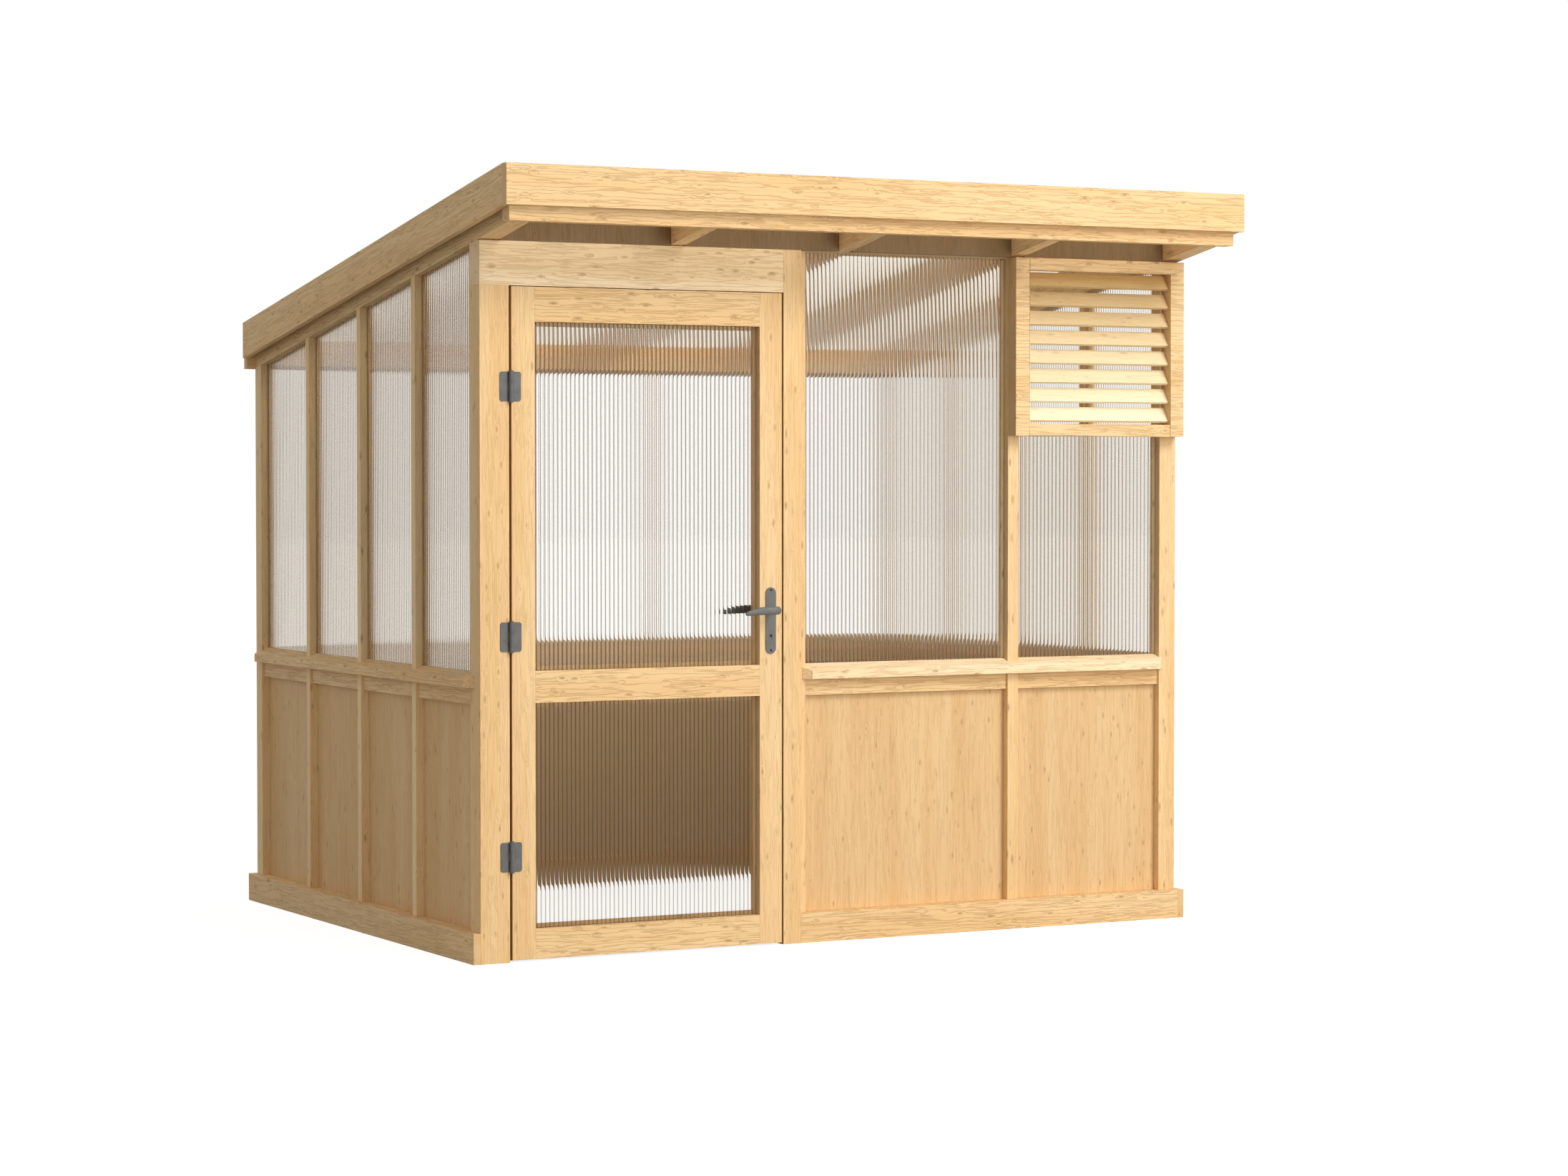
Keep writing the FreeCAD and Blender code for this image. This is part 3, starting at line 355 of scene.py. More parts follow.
def planed_pine(name, turn, stretch_number, figure, tones=None):
    """Pine, planed and left bare.

    Wandering growth lines that stand up a little from the softer wood between, blurred
    brown streaks, fine fibres, and small hard knots that the growth lines bend round.
    """
    timber = bpy.context.scene.greenhouse_timber
    sapwood, heartwood, latewood = tones or (timber.sapwood, timber.heartwood, timber.latewood)
    line_share, sway, relief, streak_share = figure
    material, tree, output = new_material(name)
    source = add(tree, "ShaderNodeTexCoord")
    shift = (0.37 * stretch_number, 0.23 * stretch_number, 1.9 * stretch_number)
    grain = add(
        tree, "ShaderNodeMapping", {"Vector": source.outputs["Object"]},
        {"Location": shift, "Rotation": turn},
    )
    # Small knots at points spread at random, of which the board's face cuts one in four
    knot_space = add(tree, "ShaderNodeMapping", {"Vector": grain}, {"Scale": (1, 1, 0.33)})
    knots = add(tree, "ShaderNodeTexVoronoi", {"Vector": knot_space}, {"Scale": 1 / timber.knot_spacing})
    draw = add(tree, "ShaderNodeSeparateColor", {"Color": knots.outputs["Color"]})
    heart_size = add(tree, "ShaderNodeMapRange", {"Value": draw.outputs[1]}, {"To Min": 0.08, "To Max": 0.3})
    heart = add(
        tree, "ShaderNodeMapRange", {"Value": knots.outputs["Distance"], "From Max": heart_size},
        {"To Min": 0.6, "To Max": 0.0}, interpolation_type="SMOOTHSTEP",
    )
    # Round a knot the growth lines are pushed aside by up to 7 mm
    push = add(
        tree, "ShaderNodeMapRange", {"Value": knots.outputs["Distance"]},
        {"From Max": 0.4, "To Min": 7 * MM, "To Max": 0.0}, interpolation_type="SMOOTHSTEP",
    )
    aside = add(tree, "ShaderNodeCombineXYZ", {0: push, 1: push})
    # The grain wanders sideways, in waves about as long as a hand is broad
    wave_space = add(tree, "ShaderNodeMapping", {"Vector": grain}, {"Scale": (1, 1, 0.6)})
    wave = add(
        tree, "ShaderNodeTexNoise", {"Vector": wave_space},
        {"Scale": 1 / (45 * MM), "Detail": 3.0, "Roughness": 0.55},
    )
    centred = add(
        tree, "ShaderNodeVectorMath", {0: wave.outputs["Color"]}, {1: (0.5, 0.5, 0.5)}, operation="SUBTRACT",
    )
    wandering = add(
        tree, "ShaderNodeVectorMath", {0: centred, 2: grain}, {1: (sway, sway, 0)}, operation="MULTIPLY_ADD",
    )
    bent = add(tree, "ShaderNodeVectorMath", {0: wandering, 1: aside}, operation="ADD")
    # Growth lines, where a noise drawn out along the grain crosses its middle level. They are
    # three times as coarse as real ones, so that they show
    drawn_out = add(tree, "ShaderNodeMapping", {"Vector": bent}, {"Scale": (1, 1, 0.04)})
    lines = add(tree, "ShaderNodeTexNoise", {"Vector": drawn_out}, {"Scale": 1 / timber.growth_line})
    level = add(tree, "ShaderNodeMath", {0: lines.outputs["Fac"]}, {1: 0.5}, operation="SUBTRACT")
    off_line = add(tree, "ShaderNodeMath", {0: level}, operation="ABSOLUTE")
    drawn_line = add(
        tree, "ShaderNodeMapRange", {"Value": off_line},
        {"From Max": 0.05, "To Min": 1.0, "To Max": 0.0}, interpolation_type="SMOOTHSTEP",
    )
    # Broad bands of sapwood and heartwood, and blurred brown streaks
    band_space = add(tree, "ShaderNodeMapping", {"Vector": grain}, {"Scale": (1, 1, 0.05)})
    bands = add(tree, "ShaderNodeTexNoise", {"Vector": band_space}, {"Scale": 14.0, "Detail": 3.0})
    band_mask = add(
        tree, "ShaderNodeMapRange", {"Value": bands.outputs["Fac"]}, {"From Min": 0.38, "From Max": 0.66},
        interpolation_type="SMOOTHSTEP",
    )
    wood = add(tree, "ShaderNodeMix", {0: band_mask}, {6: sapwood, 7: heartwood}, data_type="RGBA")
    streak_space = add(tree, "ShaderNodeMapping", {"Vector": grain}, {"Scale": (1, 1, 0.13)})
    streaks = add(
        tree, "ShaderNodeTexNoise", {"Vector": streak_space},
        {"Scale": 1 / (13 * MM), "Detail": 2.5, "Roughness": 0.6},
    )
    streak_mask = add(
        tree, "ShaderNodeMapRange", {"Value": streaks.outputs["Fac"]},
        {"From Min": 0.52, "From Max": 0.74, "To Max": streak_share}, interpolation_type="SMOOTHSTEP",
    )
    fibre_space = add(tree, "ShaderNodeMapping", {"Vector": grain}, {"Scale": (1, 1, 0.03)})
    fibres = add(
        tree, "ShaderNodeTexNoise", {"Vector": fibre_space}, {"Scale": 1 / (2.5 * MM), "Roughness": 0.6},
    )
    fibre_mask = add(
        tree, "ShaderNodeMapRange", {"Value": fibres.outputs["Fac"]},
        {"From Min": 0.42, "From Max": 0.72, "To Max": 0.12},
    )
    dark = add(
        tree, "ShaderNodeMath", {0: drawn_line, 2: fibre_mask}, {1: line_share}, operation="MULTIPLY_ADD",
    )
    dark = add(tree, "ShaderNodeMath", {0: dark, 1: streak_mask}, operation="ADD", use_clamp=True)
    # A sawn end shows none of those lines, only an even, slightly darker face
    facing = add(
        tree, "ShaderNodeMapping", {"Vector": source.outputs["Normal"]}, {"Rotation": turn},
        vector_type="NORMAL",
    )
    along = add(tree, "ShaderNodeSeparateXYZ", {0: facing})
    steep = add(tree, "ShaderNodeMath", {0: along.outputs[2]}, operation="ABSOLUTE")
    sawn = add(tree, "ShaderNodeMapRange", {"Value": steep}, {"From Min": 0.7, "From Max": 0.95})
    dark = add(tree, "ShaderNodeMix", {0: sawn, 2: dark}, {3: 0.35}, data_type="FLOAT")
    lined = add(tree, "ShaderNodeMix", {0: dark, 6: wood.outputs[2]}, {7: latewood}, data_type="RGBA")
    knotted = add(
        tree, "ShaderNodeMix", {"Factor": heart, 6: lined.outputs[2]}, {7: timber.knot}, data_type="RGBA",
    )
    height = add(
        tree, "ShaderNodeMath", {0: fibres.outputs["Fac"], 2: drawn_line}, {1: 0.3}, operation="MULTIPLY_ADD",
    )
    height = add(tree, "ShaderNodeMath", {0: height, 1: heart}, operation="SUBTRACT")
    # On a sawn end the growth lines hardly stand up
    raised = add(tree, "ShaderNodeMapRange", {"Value": sawn}, {"To Min": relief, "To Max": relief / 6})
    bump = add(tree, "ShaderNodeBump", {"Height": height, "Strength": raised}, {"Distance": 3 * MM})
    gloss = add(tree, "ShaderNodeMapRange", {"Value": fibres.outputs["Fac"]}, {"To Min": 0.5, "To Max": 0.72})
    shader = add(
        tree, "ShaderNodeBsdfPrincipled",
        {"Base Color": knotted.outputs[2], "Roughness": gloss, "Normal": bump},
        {"IOR": 1.5, "Specular IOR Level": 0.3},
    )
    tree.links.new(shader.outputs[0], output.inputs["Surface"])
    return material


def paint_eave_light_and_shade(material, bottom, top):
    """Paint shade from the eave on the wood at the upper of two heights, and brighter light at the lower one,
    which the eave leaves in the sun, blended between them.
    """
    tree = material.node_tree
    shader = next(node for node in tree.nodes if node.type == "BSDF_PRINCIPLED")
    colour = shader.inputs["Base Color"].links[0].from_socket
    source = add(tree, "ShaderNodeTexCoord")
    place = add(tree, "ShaderNodeSeparateXYZ", {0: source.outputs["Object"]})
    share = add(
        tree, "ShaderNodeMapRange", {"Value": place.outputs[2]}, {"From Min": top, "From Max": bottom},
    )
    # Painted shade under the eave, towards the top
    eave_painted_shade = add(
        tree, "ShaderNodeMix", {6: colour}, {0: 1.0, 7: linear("#E2D2BC")}, data_type="RGBA",
        blend_type="MULTIPLY",
    )
    # Painted light towards the bottom
    sun_painted_light = add(tree, "ShaderNodeMix", {6: colour}, {0: 0.6, 7: linear("#FFF6D8")}, data_type="RGBA")
    both = add(
        tree, "ShaderNodeMix", {0: share, 6: eave_painted_shade.outputs[2], 7: sun_painted_light.outputs[2]}, data_type="RGBA",
    )
    tree.links.new(both.outputs[2], shader.inputs["Base Color"])


# Light that a sheet lets through into its shadow
SHADE_OF_SHEETS = linear("#929290")
# Share of the mirror image of a white room that the weathered skin of a sheet keeps
FAINT_REFLECTION = (0.15, 0.15, 0.15, 1.0)
# Share of an opal sheet's look that comes from the light through it
OPAL_GLOW = 0.76


def clear_ribbed_sheet(name, tint, groove_painted_shade):
    """Polycarbonate, extruded clear with ribs that act as small lenses.

    The ribs split what stands behind into narrow upright strips. Light for shadows passes
    straight through, as it does through the real sheet, so the room behind isn't dark. So does
    sight that has already crossed a nearer sheet, whose ribs blur those of the farther one.
    """
    material, tree, output = new_material(name)
    source = add(tree, "ShaderNodeTexCoord")
    # Faint die lines and dust on the outer skin
    haze_space = add(tree, "ShaderNodeMapping", {"Vector": source.outputs["Object"]}, {"Scale": (1, 1, 0.1)})
    haze = add(tree, "ShaderNodeTexNoise", {"Vector": haze_space}, {"Scale": 40.0, "Detail": 3.0})
    dull = add(tree, "ShaderNodeMapRange", {"Value": haze.outputs["Fac"]}, {"To Max": 0.02})
    # Painted grey shade in the grooves between the ribs
    groove = add(tree, "ShaderNodeAttribute", attribute_name="groove")
    depth = add(
        tree, "ShaderNodeMapRange", {"Value": groove.outputs["Fac"]}, {"From Min": 0.62, "From Max": 1.0},
        interpolation_type="SMOOTHSTEP",
    )
    shade = add(tree, "ShaderNodeMix", {0: depth}, {6: tint, 7: groove_painted_shade}, data_type="RGBA")
    sheet = add(
        tree, "ShaderNodeBsdfPrincipled", {"Roughness": dull, "Base Color": shade.outputs[2]},
        {"Transmission Weight": 1.0, "IOR": 1.5, "Specular Tint": FAINT_REFLECTION},
    )
    path = add(tree, "ShaderNodeLightPath")
    farther = add(
        tree, "ShaderNodeMath", {0: path.outputs["Transmission Depth"]}, {1: 1.5}, operation="GREATER_THAN",
    )
    straight = add(
        tree, "ShaderNodeMath", {0: farther, 1: path.outputs["Is Shadow Ray"]}, operation="MAXIMUM",
    )
    open_tint = add(
        tree, "ShaderNodeMix", {0: path.outputs["Is Shadow Ray"]}, {6: tint, 7: SHADE_OF_SHEETS},
        data_type="RGBA",
    )
    open_way = add(tree, "ShaderNodeBsdfTransparent", {"Color": open_tint.outputs[2]})
    either = add(tree, "ShaderNodeMixShader", {0: straight, 1: sheet, 2: open_way})
    tree.links.new(either.outputs[0], output.inputs["Surface"])
    return material


def coated_zinc(name, coat, grit_size):
    """Cast zinc and pressed steel under a dull grey coat.

    The coat is slightly pebbled, and a little worn and shinier in patches where hands and
    the closing door rub it.
    """
    material, tree, output = new_material(name)
    source = add(tree, "ShaderNodeTexCoord")
    grit = add(tree, "ShaderNodeTexNoise", {"Vector": source.outputs["Object"]}, {"Scale": 1 / grit_size})
    wear = add(
        tree, "ShaderNodeTexNoise", {"Vector": source.outputs["Object"]},
        {"Scale": 1 / (25 * MM), "Detail": 4.0, "Roughness": 0.6},
    )
    worn = add(
        tree, "ShaderNodeMapRange", {"Value": wear.outputs["Fac"]},
        {"From Min": 0.5, "From Max": 0.75, "To Max": 0.15},
    )
    pale = [min(1.0, level * 1.5) for level in coat[:3]] + [1.0]
    tone = add(tree, "ShaderNodeMix", {0: worn}, {6: coat, 7: pale}, data_type="RGBA")
    gloss = add(
        tree, "ShaderNodeMapRange", {"Value": wear.outputs["Fac"]},
        {"From Min": 0.3, "From Max": 0.75, "To Min": 0.7, "To Max": 0.52},
    )
    bump = add(
        tree, "ShaderNodeBump", {"Height": grit.outputs["Fac"]}, {"Strength": 0.2, "Distance": 0.1 * MM},
    )
    shader = add(
        tree, "ShaderNodeBsdfPrincipled",
        {"Base Color": tone.outputs[2], "Roughness": gloss, "Normal": bump},
        {"Metallic": 0.3},
    )
    tree.links.new(shader.outputs[0], output.inputs["Surface"])
    return material


# Turn between two faces of a CAD mesh that still lie in one plane, and turn over a board's edge
ONE_PLANE = math.radians(0.5)
BOARD_EDGE = math.radians(40)
# Shorter edges belong to the rims of screw holes
SHORTEST_CORNER = 6 * MM
# Turn over the rim of a plate or a hinge leaf
PLATE_RIM = math.radians(50)


def eased_copy(node, radius, choose):
    """A merged copy of a CAD node with the edges that a test accepts rounded by a small bevel."""
    mesh = frame["nodes"][node].data.copy()
    piece = bpy.data.objects.new(node + "_finished", mesh)
    bpy.context.scene.collection.objects.link(piece)
    make_active(piece)
    bpy.ops.object.mode_set(mode="EDIT")
    bpy.ops.mesh.select_all(action="SELECT")
    bpy.ops.mesh.remove_doubles(threshold=SAME_PLACE)
    bpy.ops.mesh.dissolve_limited(angle_limit=ONE_PLANE)
    pick(piece, "edges", choose)
    bpy.ops.mesh.bevel(offset=radius, segments=2, affect="EDGES", clamp_overlap=True)
    bpy.ops.object.mode_set(mode="OBJECT")
    return piece


def is_long_corner(edge):
    """True for a square edge of a board, and false for the rims of its screw holes."""
    if len(edge.link_faces) != 2 or edge.calc_length() < SHORTEST_CORNER:
        return False
    return edge.calc_face_angle(0) > BOARD_EDGE


# Degrees that two facets of a rib may turn and still shade as one curve
RIB_CURVE = 14


def ribbed_strip(width, length, thickness, pitch, crown, facets):
    """A ribbed sheet that stands on Z = 0 with its middle on the origin, ribs upright.

    One rib is a block, cut into facets and crowned on both sides, and repeated side by side.
    """
    count = max(1, round(width / pitch))
    rib = width / count
    start_piece()
    bpy.ops.mesh.primitive_cube_add(size=1, location=(0, 0, length / 2))
    piece = bpy.context.object
    piece.scale = (rib, thickness - 2 * crown, length)
    settle(piece)
    bpy.ops.object.mode_set(mode="EDIT")
    pick(piece, "edges", lambda edge: abs(edge.verts[0].co.x - edge.verts[1].co.x) > rib / 2)
    bpy.ops.mesh.subdivide(number_cuts=facets - 1)
    # Both faces are nearly flat in the middle of a rib and fall steeply into its grooves
    thin = thickness - 2 * crown
    for step in range(1, facets):
        across = rib * (step / facets - 0.5)
        bulge = crown * (1 - (2 * across / rib) ** 4)
        pick(piece, "verts", lambda vertex: abs(vertex.co.x - across) < rib / facets / 4)
        bpy.ops.transform.resize(
            value=(1, (thin + 2 * bulge) / thin, 1), center_override=(across, 0, length / 2),
        )
    pick(piece, "faces", lambda face: abs(face.normal.x) > 0.9)
    bpy.ops.mesh.delete(type="FACE")
    bpy.ops.object.mode_set(mode="OBJECT")
    add_modifier(
        piece, "ARRAY", count=count, use_relative_offset=False, use_constant_offset=True,
        constant_offset_displace=(rib, 0, 0), use_merge_vertices=True, merge_threshold=SAME_PLACE,
    )
    make_active(piece)
    bpy.ops.object.mode_set(mode="EDIT")
    pick(piece, "edges", lambda edge: edge.is_boundary)
    bpy.ops.mesh.fill_holes(sides=0)
    bpy.ops.object.mode_set(mode="OBJECT")
    piece.location.x = -(width - rib) / 2
    settle(piece)
    face_outwards(piece)
    # How far each vertex is from the crown of its rib, for the shade in the grooves
    groove = piece.data.attributes.new("groove", "FLOAT", "POINT")
    for vertex in piece.data.vertices:
        place = (vertex.co.x + width / 2) / rib
        groove.data[vertex.index].value = abs(2 * (place - math.floor(place)) - 1)
    return piece


def cut_to_slope(piece, point, normal):
    """Cut a piece off above a plane and close the cut."""
    make_active(piece)
    bpy.ops.object.mode_set(mode="EDIT")
    bpy.ops.mesh.select_all(action="SELECT")
    bpy.ops.mesh.bisect(plane_co=point, plane_no=normal, use_fill=True, clear_outer=True)
    bpy.ops.object.mode_set(mode="OBJECT")


def roof_slope():
    """How far the roof falls for each metre towards the back."""
    low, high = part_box("roof_sheets")
    sheets = frame["nodes"]["roof_sheets"].data.vertices
    front_top = max(vertex.co.z for vertex in sheets if vertex.co.y < low.y + MM)
    back_top = max(vertex.co.z for vertex in sheets if vertex.co.y > high.y - MM)
    return (front_top - back_top) / (high.y - low.y)


class GREENHOUSE_OT_boards(bpy.types.Operator):
    """Give every board a copy with eased edges and planed pine"""

    bl_idname = "greenhouse.boards"
    bl_label = "Eased boards"

    def execute(self, context):
        edge = context.scene.greenhouse_timber.eased_edge
        turns = dict(GRAIN_TURNS, sloping=(math.pi / 2 + math.atan(roof_slope()), 0.0, 0.0))
        groups = (
            ("upright", UPRIGHT, "upright", STANDING, None),
            ("upright, left wall", LEFT_POSTS, "upright", STANDING, LEFT_POST_PAINTED_LIGHT_TONES),
            ("crosswise", CROSSWISE, "crosswise", LYING, None),
            ("lengthwise", LENGTHWISE, "lengthwise", LYING, None),
            ("sloping", SLOPING, "sloping", LYING, None),
            ("boarding", BOARDING, "upright", PANEL, BOARD_TONES),
            ("boarding at the back", BACK_BOARDING, "upright", PANEL, BACK_BOARD_PAINTED_SHADE_TONES),
            ("frieze", FRIEZE, "upright", PANEL, FRIEZE_PAINTED_SHADE_TONES),
            ("slats", SLATS, "crosswise", STANDING, SLAT_TONES),
            ("pale upright", PAINTED_LIGHT_UPRIGHT, "upright", STANDING, PAINTED_LIGHT_TONES),
            ("pale crosswise", PAINTED_LIGHT_CROSSWISE, "crosswise", LYING, PAINTED_LIGHT_TONES),
        )
        closes = door_gap_test()
        inside_back = back_rail_test()
        for word, nodes, way, figure, tones in groups:
            materials = {}
            for node, number in nodes.items():
                if number not in materials:
                    name = "Planed pine, %s, stretch %d" % (word, number + 1)
                    materials[number] = planed_pine(name, turns[way], number, figure, tones)
                piece = eased_copy(node, edge, is_long_corner)
                stand_for(piece, node, materials[number])
                # Faces in the gap round the shut door get darker tones that paint its shade
                if node in CLOSING_NODES:
                    self.tone_faces(piece, "darkened by damp and hands", "upright", DOOR_GAP_SHADE_TONES, closes)
                # The back rails' faces inside get paler tones that paint the light there
                if node == "front_and_back_rails":
                    self.tone_faces(piece, "unweathered, inside", "crosswise", PAINTED_LIGHT_TONES, inside_back)
        # Painted shade of the eave on the upper slats and painted light on the lower ones
        low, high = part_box("vent_slats")
        paint_eave_light_and_shade(bpy.data.materials["Planed pine, slats, stretch 1"], low.z, high.z)
        return {"FINISHED"}

    def tone_faces(self, piece, word, way, tones, choose):
        """Give the faces whose middle a test accepts pine of other tones."""
        name = "Planed pine, " + word
        toned = bpy.data.materials.get(name)
        if toned is None:
            toned = planed_pine(name, GRAIN_TURNS[way], 1, STANDING, tones)
        piece.data.materials.append(toned)
        for face in piece.data.polygons:
            if choose(face.center):
                face.material_index = 1


def back_rail_test():
    """A test that is true for a place on the back rails, apart from their outer face."""
    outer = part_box("front_and_back_rails")[1].y - SLACK
    return lambda place: 0 < place.y < outer


def door_gap_test():
    """A test that is true for a place in the gap round the shut door."""
    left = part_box("door_post_hinge")[1].x - SLACK
    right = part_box("door_post_latch")[0].x + SLACK
    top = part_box("door_header")[0].z + SLACK
    door_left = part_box("door_hinge_stile")[0].x + SLACK
    door_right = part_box("door_lock_stile")[1].x - SLACK
    door_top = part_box("door_hinge_stile")[1].z - SLACK

    def closes(place):
        if not left < place.x < right or place.z > top:
            return False
        return place.x < door_left or place.x > door_right or place.z > door_top

    return closes


class GREENHOUSE_OT_wall_sheets(bpy.types.Operator):
    """Model the ribbed sheets of the walls and the door"""

    bl_idname = "greenhouse.wall_sheets"
    bl_label = "Ribbed wall sheets"

    def execute(self, context):
        # Tint of the ribs and painted shade of the grooves of each wall's sheets. The grooves of the far
        # walls, seen against the light, get little painted shade. The side walls' sheets have warmer,
        # darker tints than the rest, most of all on the left.
        near = (linear("#FBFAF8"), linear("#9D9E9E"))
        back = (linear("#FDFCFB"), linear("#E9E8E4"))
        right = (linear("#F4F1EC"), linear("#DEDAD2"))
        left = (linear("#E8E1D7"), linear("#877F74"))
        walls = {
            "front_panes": ("near walls", near), "door_panes": ("near walls", near),
            "left_panes": ("left wall", left), "right_panes": ("right wall", right),
            "back_panes": ("back wall", back),
        }
        slope = roof_slope()
        for node, (word, tints) in walls.items():
            pieces = [self.sheet(context, node, low, high, slope) for low, high in solid_boxes(node)]
            piece = merge_pieces(node + "_ribbed", pieces)
            smooth(piece, RIB_CURVE)
            name = "Ribbed polycarbonate, extruded clear, " + word
            look = bpy.data.materials.get(name) or clear_ribbed_sheet(name, *tints)
            stand_for(piece, node, look)
        return {"FINISHED"}

    def sheet(self, context, node, low, high, slope):
        """One sheet in the place of one solid, cut along the roof at its top on the side walls."""
        settings = context.scene.greenhouse_sheets
        size = high - low
        along_side = node in ("left_panes", "right_panes")
        width, thickness = (size.y, size.x) if along_side else (size.x, size.y)
        piece = ribbed_strip(width, size.z, thickness, settings.rib_pitch, settings.crown, settings.facets)
        middle = (low + high) / 2
        if along_side:
            piece.rotation_euler = Euler((0, 0, math.pi / 2))
        piece.location = (middle.x, middle.y, low.z)
        settle(piece)
        if along_side:
            cut_to_slope(piece, (middle.x, low.y, high.z), (0, slope, 1))
        return piece


class GREENHOUSE_OT_roof_sheets(bpy.types.Operator):
    """Model the ribbed roof sheets and their capping bars"""

    bl_idname = "greenhouse.roof_sheets"
    bl_label = "Roof sheets"

    CAPPING_ROUNDING = 3 * MM

    def execute(self, context):
        settings = context.scene.greenhouse_sheets
        slope = roof_slope()
        pitch = math.atan(slope)
        sheets = []
        for low, high in solid_boxes("roof_sheets"):
            size = high - low
            thickness = (size.z - slope * size.y) * math.cos(pitch)
            length = size.y / math.cos(pitch) + thickness * math.tan(pitch) * 2
            piece = ribbed_strip(
                size.x, length, thickness, settings.roof_pitch, settings.crown / 2, settings.facets,
            )
            piece.location.z = -length / 2
            settle(piece)
            piece.rotation_euler = Euler((math.pi / 2 - pitch, 0, 0))
            piece.location = (low + high) / 2
            settle(piece)
            cut_to_slope(piece, low, (0, -1, 0))
            cut_to_slope(piece, high, (0, 1, 0))
            sheets.append(piece)
        piece = merge_pieces("roof_sheets_ribbed", sheets)
        smooth(piece, RIB_CURVE)
        stand_for(piece, "roof_sheets", opal_sheet("Ribbed polycarbonate, extruded opal"))
        piece = eased_copy("roof_capping_bars", self.CAPPING_ROUNDING, is_long_corner)
        stand_for(piece, "roof_capping_bars", extruded_vinyl("Rigid vinyl, extruded, light grey"))
        return {"FINISHED"}


def opal_sheet(name):
    """Polycarbonate, extruded opal: it lets light through but blurs what is behind it.

    A faint grey film of dust lies over it, a little thicker in the grooves.
    """
    material, tree, output = new_material(name)
    source = add(tree, "ShaderNodeTexCoord")
    dust = add(
        tree, "ShaderNodeTexNoise", {"Vector": source.outputs["Object"]}, {"Scale": 6.0, "Detail": 5.0},
    )
    groove = add(tree, "ShaderNodeAttribute", attribute_name="groove")
    film = add(
        tree, "ShaderNodeMath", {0: dust.outputs["Fac"], 1: groove.outputs["Fac"]}, operation="MULTIPLY",
    )
    skin = add(
        tree, "ShaderNodeMix", {0: film}, {6: linear("#FAF7F1"), 7: linear("#E8E2D8")}, data_type="RGBA",
    )
    upper = add(tree, "ShaderNodeBsdfPrincipled", {"Base Color": skin.outputs[2]}, {"Roughness": 0.3})
    glow = add(tree, "ShaderNodeBsdfTranslucent", {"Color": skin.outputs[2]})
    sheet = add(tree, "ShaderNodeMixShader", {1: upper, 2: glow}, {0: OPAL_GLOW})
    open_way = add(tree, "ShaderNodeBsdfTransparent", None, {"Color": linear("#F2F2F0")})
    path = add(tree, "ShaderNodeLightPath")
    either = add(tree, "ShaderNodeMixShader", {0: path.outputs["Is Shadow Ray"], 1: sheet, 2: open_way})
    tree.links.new(either.outputs[0], output.inputs["Surface"])
    return material


def extruded_vinyl(name):
    """Rigid vinyl, extruded light grey: an even satin skin with faint die lines and dust."""
    material, tree, output = new_material(name)
    source = add(tree, "ShaderNodeTexCoord")
    drawn = add(tree, "ShaderNodeMapping", {"Vector": source.outputs["Object"]}, {"Scale": (1, 0.02, 1)})
    lines = add(tree, "ShaderNodeTexNoise", {"Vector": drawn}, {"Scale": 1 / (3 * MM)})
    dust = add(
        tree, "ShaderNodeTexNoise", {"Vector": source.outputs["Object"]}, {"Scale": 7.0, "Detail": 5.0},
    )
    tone = add(
        tree, "ShaderNodeMix", {0: dust.outputs["Fac"]}, {6: linear("#D6D5D0"), 7: linear("#C4C1B8")},
        data_type="RGBA",
    )
    bump = add(
        tree, "ShaderNodeBump", {"Height": lines.outputs["Fac"]}, {"Strength": 0.15, "Distance": 0.1 * MM},
    )
    shader = add(
        tree, "ShaderNodeBsdfPrincipled", {"Base Color": tone.outputs[2], "Normal": bump}, {"Roughness": 0.4},
    )
    tree.links.new(shader.outputs[0], output.inputs["Surface"])
    return material


class GREENHOUSE_OT_hinges(bpy.types.Operator):
    """Finish the hinges, their pins and their screws"""

    bl_idname = "greenhouse.hinges"
    bl_label = "Hinges"

    # Beyond this distance from the pin, a short edge belongs to a leaf's rounded corner
    CORNER_START = 28 * MM
    LONG_RIM = 10 * MM

    def execute(self, context):
        fittings = context.scene.greenhouse_fittings
        material = coated_zinc("Pressed steel, coated dull grey", fittings.hinge_coat, 0.8 * MM)
        pins_low, pins_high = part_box("hinge_pins")
        pin_x = (pins_low.x + pins_high.x) / 2

        def is_leaf_rim(edge):
            middle = (edge.verts[0].co + edge.verts[1].co) / 2
            far_out = abs(middle.x - pin_x) > self.CORNER_START or edge.calc_length() > self.LONG_RIM
            return far_out and len(edge.link_faces) == 2 and edge.calc_face_angle(0) > PLATE_RIM

        for node in ("hinge_frame_leaves", "hinge_door_leaves"):
            stand_for(eased_copy(node, fittings.rounding, is_leaf_rim), node, material)
        paint(("hinge_pins", "hinge_frame_screws", "hinge_door_screws"), material)
        return {"FINISHED"}


